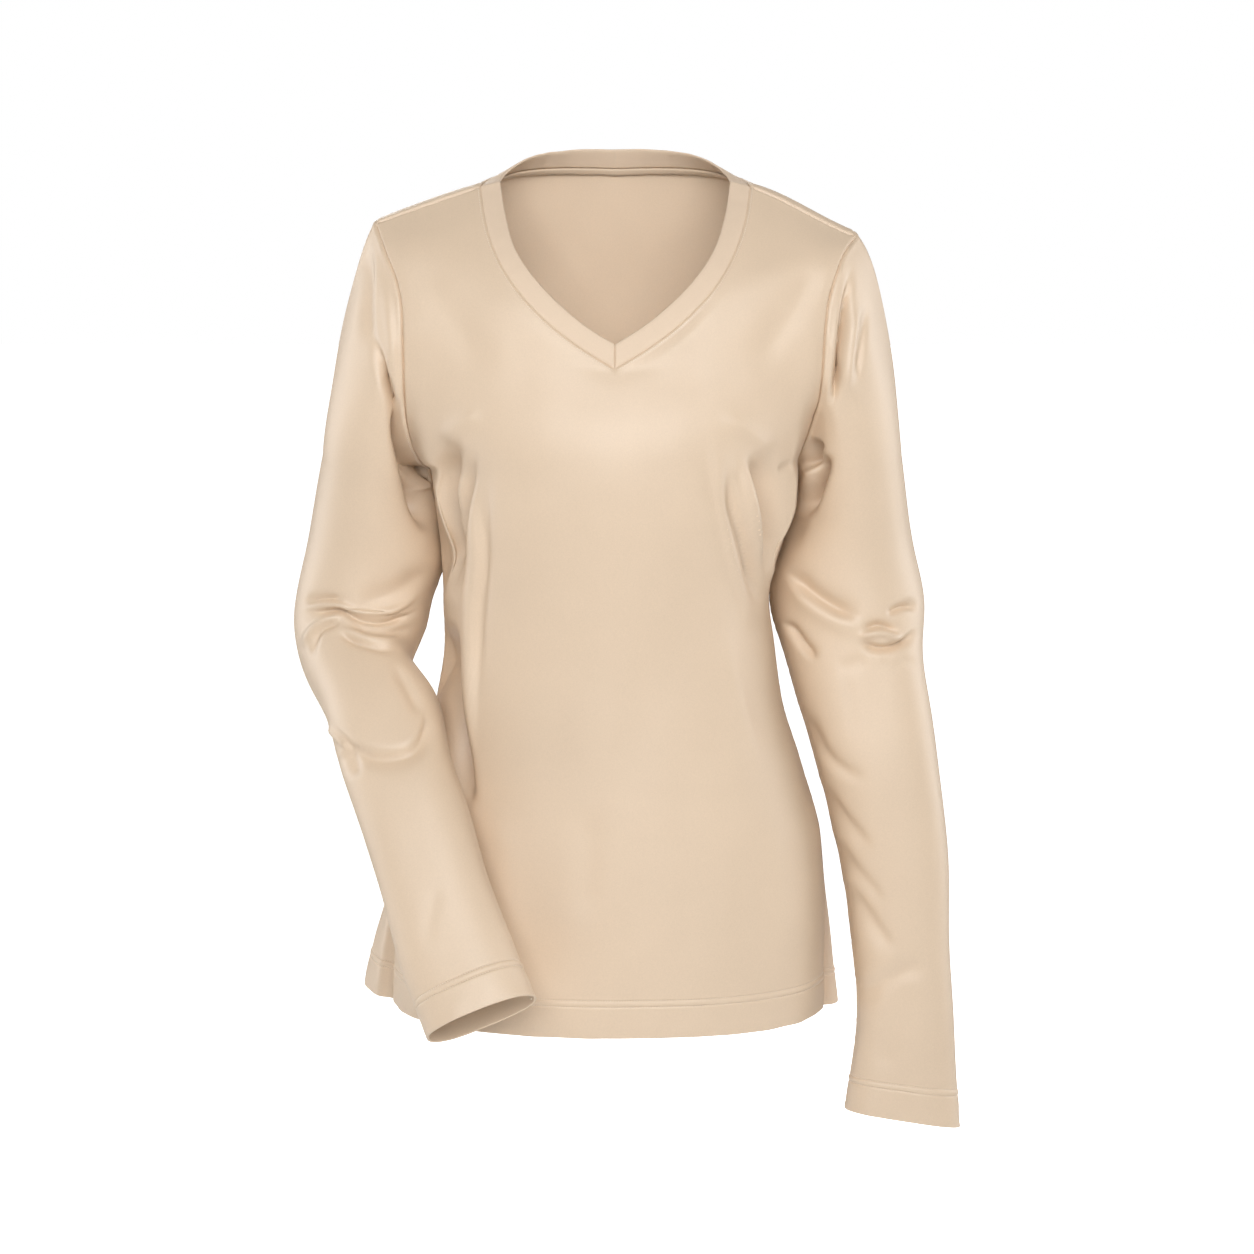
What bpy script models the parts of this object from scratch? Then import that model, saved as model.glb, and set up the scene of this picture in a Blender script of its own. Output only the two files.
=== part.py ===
"""Long-sleeve V-neck shirt, filled out with no wearer.

Metres, +Z up, front towards -Y.  Z = 0 is the level of the neck sides at the shoulder seams.
Tables are in millimetres.  Widths are measured out from the middle of the shirt, so one function
makes both halves.  "left" is the left as seen from the front.
"""
import bpy
import numpy as np

MM = 0.001
WALL = 1.2 * MM              # cloth wall
FOLD_EXTRA = 0.8 * MM        # added inside where the hem and the cuffs are folded up double
HEM_DEEP = 26.0 * MM         # height of the folded hem
CUFF_DEEP = 26.0 * MM        # height of the folded cuff
BAND_WALL = 2.4 * MM         # neckband, folded double
SEAM_GAP = 0.3 * MM          # between pieces that are sewn together
MID_X = -1.0 * MM            # the middle line of the shirt
FRONT_COLUMNS = 12           # mesh columns on each half of the front
BACK_COLUMNS = 11            # mesh columns on each half of the back
BACK_SHOULDER_COLUMNS = 4    # how many of them lie along the shoulder seam
SIDE_ROWS = 18               # mesh rows from the hem to the armpit
LEFT, RIGHT = -1, 1


def table(columns, rows):
    """A dict of named columns in metres; the first entry of each row is its label."""
    names = columns.split()
    values = np.array([row[1:] for row in rows], float) * MM
    return {name: values[:, i] for i, name in enumerate(names)}


# Body from the hem to the armpit: side seam, middle front, middle back.  out_* is how far the
# back panel swings out beside the side seam, dip_* how far it hangs below it there.
BODY = table("z_left z_right z_mid x_left x_right y_seam y_front y_back "
             "out_left out_right dip_left dip_right", [
    ("hem",       -635, -640, -637.5, 174.0, 161.0, -20, -130, 120, 88, 62, -8, 20),
    ("hem_line",  -609, -614, -611.0, 173.0, 162.0, -18, -129, 120, 76, 50, -7, 17),
    ("low_hip",   -566, -569, -567.0, 170.0, 162.5, -13, -127, 119, 46, 30, -4,  9),
    ("hip",       -505, -507, -506.0, 163.0, 159.5,  -6, -122, 115, 14,  8,  0,  2),
    ("high_hip",  -448, -449, -448.0, 149.5, 144.5,  -2, -117, 105,  3,  1,  0,  0),
    ("low_waist", -400, -400, -400.0, 139.5, 129.5,   0, -114,  97,  0,  0,  0,  0),
    ("waist",     -352, -352, -352.0, 132.5, 122.5,   0, -113,  93,  0,  0,  0,  0),
    ("rib",       -318, -318, -318.0, 133.0, 118.5,   0, -115,  95,  0,  0,  0,  0),
    ("high_rib",  -275, -275, -273.0, 135.5, 129.5,   0, -119, 101,  0,  0,  0,  0),
    ("bust",      -243, -243, -238.0, 139.5, 139.0,   0, -122, 107,  0,  0,  0,  0),
])

# Front above the armpit: armhole edge x y z, and the way the cloth leaves it (hx hy hz).
FRONT_ARMHOLE = table("x_left z_left x_right z_right y hx hy hz", [
    ("armpit",   142.3, -218.7, 139.7, -214.0,   0,  0, -66,  0),
    ("under",    150.3, -210.3, 144.5, -198.5, -18, 10, -58,  0),
    ("low",      155.3, -196.1, 150.4, -178.3, -33, 22, -46,  1),
    ("mid_low",  158.6, -173.0, 154.5, -161.5, -48, 38, -34,  2),
    ("mid",      159.3, -145.4, 156.4, -140.8, -56, 48, -26,  3),
    ("mid_high", 159.8, -116.8, 157.7, -116.8, -56, 44, -20,  4),
    ("high",     160.6,  -95.2, 160.0,  -93.7, -52, 36, -16,  6),
    ("top",      164.0,  -76.7, 166.5,  -70.0, -45, 30, -12,  8),
    ("over",     173.9,  -52.9, 174.0,  -52.9, -30, 27,  -6,  9),
    ("shoulder", 183.0,  -31.2, 183.8,  -41.1,  -8, 27,   0, 10),
])
# The other end of the same rows: the middle line up to the V, then the neck edge.
FRONT_NECK = table("x z y kx ky kz", [
    ("armpit",     0, -214.0, -121.5, 78, 0,  0),
    ("under",      0, -204.0, -119.5, 78, 0,  0),
    ("low",        0, -190.0, -115.5, 76, 0,  0),
    ("mid_low",    0, -166.0, -107.5, 72, 1,  0),
    ("mid",        0, -137.2,  -98.0, 64, 3,  0),
    ("mid_high",  34, -116.0,  -93.0, 48, 5, -1),
    ("high",      62,  -92.0,  -83.5, 38, 6, -3),
    ("top",     82.5,  -66.0,  -67.0, 30, 5, -5),
    ("over",      97,  -33.5,  -38.0, 27, 3, -8),
    ("shoulder", 103,   -3.5,   -5.0, 27, 0, -9),
])
V_ROW = 4                    # the row of that table where the V starts

# Back above the armpit, up to a row across the shoulder blades.
BACK_ARMHOLE = table("x_left z_left x_right z_right y hx hy hz z_mid y_mid k", [
    ("armpit",   142.3, -218.7, 139.7, -214.0,  0,  0, 60, 0, -210, 110.0, 78),
    ("under",    149.5, -209.0, 144.5, -198.5, 20, 10, 52, 0, -200, 110.5, 77),
    ("low",      154.0, -194.0, 150.0, -178.3, 36, 20, 44, 0, -184, 110.5, 76),
    ("mid_low",  157.0, -171.0, 153.5, -161.5, 51, 34, 34, 1, -160, 108.5, 74),
    ("mid",      158.0, -143.0, 155.5, -140.8, 59, 44, 27, 2, -133, 105.0, 72),
    ("mid_high", 158.5, -116.0, 157.0, -116.8, 61, 48, 24, 3, -107, 100.5, 70),
    ("high",     160.0,  -95.2, 159.5,  -93.7, 58, 48, 22, 5,  -85,  96.0, 70),
    ("blade",    163.5,  -76.7, 165.5,  -71.0, 51, 48, 20, 7,  -64,  91.0, 70),
])
# Back neck edge from the shoulder seam to the middle.
BACK_NECK = table("x y z", [
    ("shoulder", 103.0, -5, -3.5),
    ("side",      99.5, 14,  0.5),
    ("turn",      86.0, 35,  7.5),
    ("flat",      53.5, 57, 12.5),
    ("middle",     0.0, 70, 12.0),
])
# How the back arrives at its top edge, from the shoulder point to the middle of the neck.
YOKE = table("at mx my mz", [
    ("shoulder",   0,   0, -58, -44),
    ("neck_side", 400,  6, -60, -38),
    ("turn",      600, 16, -46,  14),
    ("middle",   1000,  0, -20,  46),
])

# Sleeves: where the cloth leaves the armhole, going round from the shoulder over the front.
CAP = table("turn m_left m_right my mz", [
    ("shoulder",   0,  51,  72,   0,  -74),
    ("front",    250,  46,  50, -10,  -62),
    ("armpit",   500,   3,   3,   2,  -14),
    ("back",     750,  48,  50,  14,  -62),
])
# Rings below the armpit: outer and inner edge as seen from the front, middle, depth.
SLEEVE_LEFT = table("x_out z_out x_in z_in y depth", [
    ("bicep",      226.5, -205.0, 143.4, -234.0,    9, 52),
    ("upper_arm",  236.5, -252.0, 137.2, -268.0,   18, 53),
    ("low_arm",    243.0, -284.0, 136.0, -297.0,   20, 51),
    ("over_elbow", 249.5, -313.0, 145.5, -324.0,   17, 48),
    ("elbow",      252.5, -340.0, 150.5, -345.0,   11, 45),
    ("elbow_low",  246.0, -366.5, 159.5, -364.5,   -6, 40),
    ("fore_top",   226.0, -401.5, 140.0, -390.0,  -41, 36),
    ("fore_high",  207.0, -445.0, 127.5, -425.5,  -79, 34),
    ("fore_mid",   187.5, -491.5, 113.0, -464.0, -110, 32),
    ("fore_low",   171.5, -533.5,  98.0, -505.5, -134, 31),
    ("wrist",      155.5, -583.5,  80.0, -550.5, -158, 30),
    ("cuff",       137.0, -625.0,  60.5, -592.5, -181, 28),
])
SLEEVE_RIGHT = table("x_out z_out x_in z_in y depth", [
    ("bicep",      220.0, -206.0, 141.0, -227.0,   10, 52),
    ("upper_arm",  227.0, -250.0, 138.0, -259.0,   20, 53),
    ("low_arm",    233.5, -290.0, 124.5, -294.0,   22, 51),
    ("elbow",      240.0, -326.0, 121.5, -329.0,   19, 49),
    ("elbow_low",  239.5, -358.0, 129.5, -357.0,   13, 46),
    ("fore_top",   245.0, -402.0, 143.0, -402.0,    4, 43),
    ("fore_high",  252.0, -457.0, 158.0, -457.0,   -5, 40),
    ("fore_mid",   259.5, -535.0, 176.5, -534.0,  -15, 34),
    ("fore_low",   261.0, -607.0, 187.0, -606.0,  -22, 29),
    ("wrist",      264.5, -661.0, 188.0, -655.0,  -27, 25),
    ("cuff",       269.5, -734.0, 180.0, -719.5,  -34, 21),
])

# Free edge of the neckband, measured from its seam: towards the middle, back, up.
BAND = table("at dx dy dz", [
    ("v_point",     0,  0.0,  4.5, 18.0),
    ("v_side",    120,  9.8,  4.0, 12.2),
    ("chest",     280, 12.0,  4.2,  9.6),
    ("collar",    420, 14.0,  4.0,  6.2),
    ("neck_side", 600, 15.2,  1.5,  4.0),
    ("turn",      760, 11.0, -6.5, 10.0),
    ("flat",      880,  5.0, -9.5, 12.0),
    ("middle",   1000,  0.0, -8.5, 13.6),
])
SLEEVE_ELBOW = (60 * MM, 158 * MM)   # the stretch of a sleeve, below its first ring, that creases

# The largest folds: from and to as seen from the front, bow to one side, half width, depth.
# A depth below nought is a trough.
BODY_FOLDS = table("x0 z0 x1 z1 bow wide deep", [
    ("left_drape",       -108, -205, -116, -430,  -6, 14,  6.0),
    ("left_trough",       -86, -240,  -92, -440,  -6, 17, -4.0),
    ("left_side",        -128, -230, -122, -400,  -4, 11, -5.0),
    ("right_drape",        82, -200,  112, -400,  -6, 14,  5.5),
    ("right_trough",      104, -215,  118, -350,  -6, 12, -5.5),
    ("left_skirt",       -104, -455, -128, -640,   0, 22,  6.0),
    ("left_skirt_low",    -70, -500,  -80, -640,   0, 26, -4.0),
    ("right_skirt",       106, -430,  128, -640,   0, 20,  5.5),
    ("right_skirt_low",    66, -480,   80, -640,   0, 26, -4.0),
    ("right_chest",       150, -100,   96, -185,   8, 17, -4.0),
    ("left_chest",       -148, -110, -104, -180,  -8, 17, -3.5),
])
BACK_FOLDS = table("x0 z0 x1 z1 bow wide deep", [
    ("left_blade",       -128, -180,  -92, -330,   8, 16, -3.0),
    ("left_waist",        -70, -290,  -78, -460,   6, 18,  3.5),
    ("right_blade",       126, -175,   86, -320,  -8, 16, -3.0),
    ("right_waist",        58, -300,   72, -470,  -6, 18,  3.5),
    ("hollow",            -12, -300,   -6, -450,   4, 24, -3.5),
    ("left_flute",       -150, -520, -186, -640,   0, 17,  5.0),
    ("left_between",     -108, -500, -126, -640,   0, 22, -5.0),
    ("middle_flute",      -34, -500,  -40, -640,   0, 26,  4.0),
    ("right_between",      70, -500,   84, -640,   0, 24, -4.0),
    ("right_flute",       128, -500,  140, -640,   0, 18,  4.0),
])
LEFT_SLEEVE_FRONT = table("x0 z0 x1 z1 bow wide deep", [
    ("cap_crease",       -192, -105, -163, -245,  -8,  9, -5.0),
    ("elbow_ridge",      -249, -331, -152, -333,  -8,  7,  5.0),
    ("elbow_pocket",     -249, -316, -206, -318,   3,  8, -5.0),
    ("elbow_second",     -222, -350, -164, -352,  -9,  6,  4.0),
    ("elbow_under",      -240, -366, -170, -366,  -6,  8, -4.0),
    ("forearm_bag",      -222, -412, -146, -424, -14, 10, -5.0),
])
LEFT_SLEEVE_BACK = table("x0 z0 x1 z1 bow wide deep", [
    ("elbow_top",        -244, -300, -160, -312,  -8,  9, -4.0),
    ("elbow_ridge",      -248, -330, -158, -342, -10,  9,  5.0),
    ("elbow_under",      -238, -362, -166, -366,  -8,  9, -4.5),
    ("upper",            -196, -120, -172, -240,   8, 11, -4.0),
    ("forearm",          -214, -420, -150, -450, -12, 11, -4.0),
])
RIGHT_SLEEVE_FRONT = table("x0 z0 x1 z1 bow wide deep", [
    ("cap_crease",        180,  -90,  169, -172,   5,  9, -5.0),
    ("valley",            128, -296,  198, -336, -10, 10, -4.5),
    ("elbow_ridge",       182, -346,  237, -334, -10,  7,  5.0),
    ("elbow_pocket",      186, -336,  226, -338,   5,  7, -5.0),
    ("inner_crease",      130, -330,  158, -360,  -4,  8, -4.0),
    ("forearm_high",      157, -424,  196, -458,   0,  9, -4.0),
    ("forearm_mid",       168, -476,  203, -512,   0,  9, -3.5),
    ("forearm_low",       182, -538,  218, -592,   0, 10, -3.5),
])
RIGHT_SLEEVE_BACK = table("x0 z0 x1 z1 bow wide deep", [
    ("upper",             188, -110,  168, -225,  -8, 11, -4.0),
    ("elbow_top",         236, -306,  150, -318,  10,  9, -4.0),
    ("elbow_ridge",       238, -340,  146, -346,  10,  9,  5.0),
    ("elbow_under",       240, -374,  156, -380,   8,  9, -4.5),
    ("forearm_high",      236, -440,  172, -470,   6, 10, -3.5),
    ("forearm_low",       246, -545,  196, -580,   6, 10, -3.0),
])


# ---------------------------------------------------------------- curves
def fair(at, values, t):
    """Smooth curve through the table values (natural cubic spline)."""
    at, values, t = (np.asarray(v, float) for v in (at, values, t))
    n, h = len(at), np.diff(at)
    a, b = np.eye(n), np.zeros(n)
    for i in range(1, n - 1):
        a[i, i - 1:i + 2] = h[i - 1], 2 * (h[i - 1] + h[i]), h[i]
        b[i] = 6 * ((values[i + 1] - values[i]) / h[i] - (values[i] - values[i - 1]) / h[i - 1])
    m = np.linalg.solve(a, b)
    i = np.clip(np.searchsorted(at, t, side="right") - 1, 0, n - 2)
    w, p, q = h[i], at[i + 1] - t, t - at[i]
    return ((m[i] * p ** 3 + m[i + 1] * q ** 3) / (6 * w)
            + (values[i] / w - m[i] * w / 6) * p + (values[i + 1] / w - m[i + 1] * w / 6) * q)


def tight(at, values, t):
    """Curve through the table values that never swings past them."""
    at, values, t = (np.asarray(v, float) for v in (at, values, t))
    h = np.diff(at)
    d = np.diff(values) / h
    slope = np.concatenate([[d[0]], (d[:-1] + d[1:]) / 2, [d[-1]]])
    for i in range(1, len(at) - 1):
        low, high = d[i - 1], d[i]
        slope[i] = 0 if low * high <= 0 else 3 * (h[i - 1] + h[i]) / (
            (2 * h[i] + h[i - 1]) / low + (h[i] + 2 * h[i - 1]) / high)
    i = np.clip(np.searchsorted(at, t, side="right") - 1, 0, len(at) - 2)
    return hermite(values[i], values[i + 1], slope[i] * h[i], slope[i + 1] * h[i], (t - at[i]) / h[i])


def hermite(p, q, m, n, t):
    return ((2 * t ** 3 - 3 * t ** 2 + 1) * p + (t ** 3 - 2 * t ** 2 + t) * m
            + (3 * t ** 2 - 2 * t ** 3) * q + (t ** 3 - t ** 2) * n)


def bezier(p, q, r, s, t):
    return (1 - t) ** 3 * p + 3 * t * (1 - t) ** 2 * q + 3 * t * t * (1 - t) * r + t ** 3 * s


def unit(v):
    return v / np.maximum(np.linalg.norm(v, axis=-1, keepdims=True), 1e-12)


def smooth(low, high, x):
    t = np.clip((x - low) / (high - low), 0, 1)
    return t * t * (3 - 2 * t)


def stack(x, y, z):
    return np.stack(np.broadcast_arrays(x, y, z), -1)


def along(points):
    """Distance along a row of points, from 0 to 1."""
    d = np.concatenate([[0], np.cumsum(np.linalg.norm(np.diff(points, axis=0), axis=1))])
    return d / d[-1]


def resample(points, t):
    at = along(points)
    return np.stack([np.interp(t, at, points[:, k]) for k in range(3)], -1)


def grid_normals(p, closed=False):
    """Unit normals of a grid of points [row, column]."""
    du = np.roll(p, -1, 1) - np.roll(p, 1, 1) if closed else np.gradient(p, axis=1)
    dv = np.gradient(p, axis=0)
    return unit(np.cross(du, dv))


# ---------------------------------------------------------------- body
def side(columns, name, hand):
    return columns[name + ("_left" if hand == LEFT else "_right")]


def body_rows(hand, armhole, inner_x, inner_y, inner_z, back):
    """Every row's two ends and handles, from the hem to the top row, for one half panel."""
    n = len(BODY["y_seam"])
    zero = np.zeros(n)
    y_mid = BODY["y_back"] if back else BODY["y_front"]
    reach = y_mid - BODY["y_seam"]
    swing = side(BODY, "out", hand) if back else zero
    dip = side(BODY, "dip", hand) if back else zero
    outer = stack(side(BODY, "x", hand), BODY["y_seam"], side(BODY, "z", hand))
    inner = stack(zero, y_mid, BODY["z_mid"])
    leave = stack(swing, 0.56 * reach, -dip)
    arrive = stack(0.56 * side(BODY, "x", hand), zero, zero)
    top_outer = stack(side(armhole, "x", hand), armhole["y"], side(armhole, "z", hand))
    top_leave = stack(-armhole["hx"], armhole["hy"], armhole["hz"])
    top_inner = stack(inner_x, inner_y, inner_z)
    if back:
        top_arrive = stack(armhole["k"], armhole["k"] * 0, armhole["k"] * 0)
    else:
        top_arrive = stack(FRONT_NECK["kx"], FRONT_NECK["ky"], FRONT_NECK["kz"])
    rows = [np.concatenate(pair) for pair in
            ((outer, top_outer), (leave, top_leave), (inner, top_inner), (arrive, top_arrive))]
    step = np.linalg.norm(np.diff(rows[0], axis=0), axis=1)
    step[n:] = (step[n:] + np.linalg.norm(np.diff(rows[2], axis=0), axis=1)[n:]) / 2
    at = np.concatenate([[0], np.cumsum(step)])
    return at, rows


def half_panel(hand, at, rows, v, u, v_row=None):
    """Points [row, column] of one half panel, from its outer edge to the middle or the neck."""
    ends = [np.stack([(tight if k in (0,) else fair)(at, rows[k][:, c], v) for c in range(3)], -1)
            for k in range(4)]
    if v_row:                    # the neck edge is a curve of its own, from the V up
        neck = v > at[v_row]
        for c in range(3):
            ends[2][neck, c] = fair(at[v_row:], rows[2][v_row:, c], v[neck])
        ends[2][~neck, 0] = 0
    outer, leave, inner, arrive = (e[:, None, :] for e in ends)
    p = bezier(outer, outer + leave, inner + arrive, inner, u[None, :, None])
    return p * (hand, 1, 1) + (MID_X, 0, 0)


def spread(low, high, step):
    return np.linspace(low, high, max(2, int(round((high - low) / step)) + 1))


def low_rows(armpit):
    """Rows from the hem to the armpit, the same on both panels so that their sides meet."""
    start = HEM_DEEP + 1.5 * MM
    return np.concatenate([[0, HEM_DEEP], np.linspace(start, armpit, SIDE_ROWS - 2)])


def front_grids():
    """Both halves of the front, the row that holds the V, and the armhole edges."""
    halves, edges = {}, {}
    for hand in (LEFT, RIGHT):
        at, rows = body_rows(hand, FRONT_ARMHOLE, FRONT_NECK["x"], FRONT_NECK["y"],
                             FRONT_NECK["z"], back=False)
        n = len(BODY["y_seam"])
        armpit, v_at = at[n], at[n + V_ROW]
        low = low_rows(armpit)
        mid = np.linspace(armpit, v_at, 5)[1:]
        top = np.linspace(v_at, at[-1], 11)[1:]
        v = np.concatenate([low, mid, top])
        u = np.linspace(0, 1, FRONT_COLUMNS + 1)
        p = half_panel(hand, at, rows, v, u, v_row=n + V_ROW)
        v_row = len(low) + len(mid) - 1
        p[:v_row + 1, -1, 0] = MID_X
        halves[hand] = p
        edges[hand] = p[len(low) - 1:, 0]
    return halves, v_row, edges


def back_grids():
    """Both halves of the back and the armhole edges; the top row is shoulder seam and neck."""
    halves, edges = {}, {}
    for hand in (LEFT, RIGHT):
        at, rows = body_rows(hand, BACK_ARMHOLE, BACK_ARMHOLE["y_mid"] * 0,
                             BACK_ARMHOLE["y_mid"], BACK_ARMHOLE["z_mid"], back=True)
        n = len(BODY["y_seam"])
        armpit = at[n]
        low = low_rows(armpit)
        mid = np.linspace(armpit, at[-1], 7)[1:]
        v = np.concatenate([low, mid])
        u = np.linspace(0, 1, BACK_COLUMNS + 1)
        p = half_panel(hand, at, rows, v, u)
        before = half_panel(hand, at, rows, v[-1:] - 4 * MM, u)[0]
        top = back_top_edge(hand)
        reach = np.linalg.norm(top - p[-1], axis=1, keepdims=True)
        start = unit(p[-1] - before) * reach * 1.05
        turn = np.stack([fair(YOKE["at"] / (1000 * MM), YOKE[m], u) for m in ("mx", "my", "mz")], -1)
        turn = turn * (-hand, 1, 1)
        t = np.array([0.24, 0.47, 0.68, 0.86, 1.0])[:, None, None]
        yoke = hermite(p[-1][None], top[None], start[None], turn[None], t)
        p = np.concatenate([p, yoke])
        p[:, -1, 0] = MID_X
        halves[hand] = p
        edges[hand] = p[len(low) - 1:, 0]
    return halves, edges


def back_top_edge(hand):
    """Shoulder seam from the armhole to the neck, then the back neck edge to the middle."""
    arm = FRONT_ARMHOLE
    point = np.array([side(arm, "x", hand)[-1], arm["y"][-1], side(arm, "z", hand)[-1]])
    neck = np.array([FRONT_NECK["x"][-1], FRONT_NECK["y"][-1], FRONT_NECK["z"][-1]])
    leave = np.array([-arm["hx"][-1], arm["hy"][-1], arm["hz"][-1]])
    arrive = np.array([FRONT_NECK["kx"][-1], FRONT_NECK["ky"][-1], FRONT_NECK["kz"][-1]])
    t = np.linspace(0, 1, BACK_SHOULDER_COLUMNS + 1)[:, None]
    seam = bezier(point, point + leave, neck + arrive, neck, t)
    edge = back_neck(np.linspace(0, 1, BACK_COLUMNS - BACK_SHOULDER_COLUMNS + 1)[1:])
    return np.concatenate([seam, edge]) * (hand, 1, 1) + (MID_X, 0, 0)


def back_neck(t):
    """Half of the back neck edge; x is still a width."""
    points = stack(BACK_NECK["x"], BACK_NECK["y"], BACK_NECK["z"])
    at = along(points)
    fine = np.stack([fair(at, points[:, c], np.linspace(0, 1, 81)) for c in range(3)], -1)
    return resample(fine, t)


# ---------------------------------------------------------------- folds
def fold_lift(points, facing, folds):
    """How far the folds lift each point; seen from the front, weighted to one face."""
    lift = np.zeros(points.shape[:-1])
    xz = points[..., (0, 2)]
    for i in range(len(folds["x0"])):
        a = np.array([folds["x0"][i], folds["z0"][i]])
        b = np.array([folds["x1"][i], folds["z1"][i]])
        aside = unit(np.array([b[1] - a[1], a[0] - b[0]]))
        best = np.full(lift.shape, 9.0)
        where = np.zeros(lift.shape)
        for t in np.linspace(0, 1, 33):
            c = a + (b - a) * t + aside * folds["bow"][i] * 4 * t * (1 - t)
            d = np.linalg.norm(xz - c, axis=-1)
            where = np.where(d < best, t, where)
            best = np.minimum(d, best)
        taper = smooth(0, 0.25, where) * smooth(0, 0.25, 1 - where)
        if folds["z1"][i] < -630 * MM:
            taper = smooth(0, 0.35, where)
        lift += folds["deep"][i] * taper * np.exp(-(best / folds["wide"][i]) ** 2)
    return lift * facing


def fade_at_edges(lift, rows_low, rows_high, columns):
    """Bring the lift to nought at the seams so that neighbours still meet."""
    n, m = lift.shape
    r, c = np.arange(n)[:, None], np.arange(m)[None, :]
    if rows_low:
        lift = lift * smooth(0, rows_low, r)
    if rows_high:
        lift = lift * smooth(0, rows_high, n - 1 - r)
    if columns:
        lift = lift * smooth(0, columns, c)
    return lift


# ---------------------------------------------------------------- solids
def material(name, colour):
    m = bpy.data.materials.new(name)
    m.use_nodes = True
    shader = m.node_tree.nodes["Principled BSDF"]
    shader.inputs["Base Color"].default_value = (*colour, 1)
    shader.inputs["Roughness"].default_value = 0.5
    return m


def solid(name, verts, faces, colour):
    """A closed mesh object, turned so that its faces look out."""
    verts = np.asarray(verts, float)
    volume = 0.0
    for f in faces:
        for k in range(1, len(f) - 1):
            volume += np.dot(verts[f[0]], np.cross(verts[f[k]], verts[f[k + 1]]))
    if volume < 0:
        faces = [tuple(reversed(f)) for f in faces]
    mesh = bpy.data.meshes.new(name)
    mesh.from_pydata([tuple(v) for v in verts], [], [tuple(int(i) for i in f) for f in faces])
    mesh.validate()
    mesh.update()
    for polygon in mesh.polygons:
        polygon.use_smooth = True
    thing = bpy.data.objects.new(name, mesh)
    bpy.context.scene.collection.objects.link(thing)
    mesh.materials.append(material(name + "_cloth", colour))
    return thing


def wall(name, points, normals, inner_extra, faces, colour):
    """Two faces of cloth a wall apart, closed round every free edge."""
    n = len(points)
    half = WALL / 2
    verts = np.concatenate([points + normals * half,
                            points - normals * (half + inner_extra[:, None])])
    edges = {}
    for f in faces:
        for a, b in zip(f, f[1:] + f[:1]):
            edges[(a, b)] = True
    rim = [(b, a, a + n, b + n) for (a, b) in edges if (b, a) not in edges]
    back = [tuple(i + n for i in reversed(f)) for f in faces]
    return solid(name, verts, list(faces) + back + rim, colour)


def panel(name, halves, normals, extra, joined_rows, colour):
    """One body panel from its two half grids, sharing the middle line up to a row."""
    left, right = halves[LEFT], halves[RIGHT]
    rows, columns = left.shape[:2]
    index = {LEFT: np.arange(rows * columns).reshape(rows, columns)}
    more = rows * columns + np.arange(rows * columns).reshape(rows, columns)
    more[:joined_rows, -1] = index[LEFT][:joined_rows, -1]
    index[RIGHT] = more
    used, remap = np.unique(np.concatenate([index[h].ravel() for h in (LEFT, RIGHT)]),
                            return_inverse=True)
    lookup = dict(zip(used.tolist(), range(len(used))))
    points = np.zeros((len(used), 3))
    norm = np.zeros((len(used), 3))
    deep = np.zeros(len(used))
    for hand in (LEFT, RIGHT):
        for r in range(rows):
            for c in range(columns):
                k = lookup[int(index[hand][r, c])]
                points[k] = halves[hand][r, c]
                norm[k] += normals[hand][r, c]
                deep[k] = extra[hand][r, c]
    faces = []
    for hand in (LEFT, RIGHT):
        g = index[hand]
        for r in range(rows - 1):
            for c in range(columns - 1):
                f = [lookup[int(g[r + i, c + j])] for i, j in ((0, 0), (0, 1), (1, 1), (1, 0))]
                faces.append(tuple(f if hand == LEFT else reversed(f)))
    return wall(name, points, unit(norm), deep, faces, colour)


def panel_normals(halves, front):
    normals = {}
    for hand in (LEFT, RIGHT):
        n = grid_normals(halves[hand])
        mirror = halves[-hand] * (-1, 1, 1)
        out = np.sign(np.median(n[..., 1])) * (-1 if front else 1)
        n = n * out
        normals[hand] = n
    return normals


def flatten_middle(normals, joined_rows):
    """On the middle line both halves share one normal."""
    both = unit(normals[LEFT][:joined_rows, -1] + normals[RIGHT][:joined_rows, -1])
    for hand in (LEFT, RIGHT):
        normals[hand][:joined_rows, -1] = both


def bend_gap(a, b, thick):
    """How far apart two walls start so that their near corners stay a seam gap apart.

    a and b are the ways the two pieces run off from the seam."""
    turn = np.arccos(np.clip(-np.sum(a * b, -1), -1, 1))
    return SEAM_GAP + thick * np.sin(turn / 2)


def draw_in(mine, other, thick):
    """Pull one half panel back from its side seam and its shoulder seam."""
    q = mine.copy()
    rows = np.arange(len(mine))
    side_rows = rows[:SIDE_ROWS]
    a = unit(mine[:, 1] - mine[:, 0])
    b = unit(other[:SIDE_ROWS, 1] - other[:SIDE_ROWS, 0])
    gap = np.full(len(mine), SEAM_GAP / 2)
    gap[side_rows] = bend_gap(a[side_rows], b, 2 * thick[:SIDE_ROWS]) * 0.6
    q[:, 0] += a * gap[:, None]
    up = unit(mine[-2] - mine[-1])
    q[-1] += up * SEAM_GAP * 0.9
    return q


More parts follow.
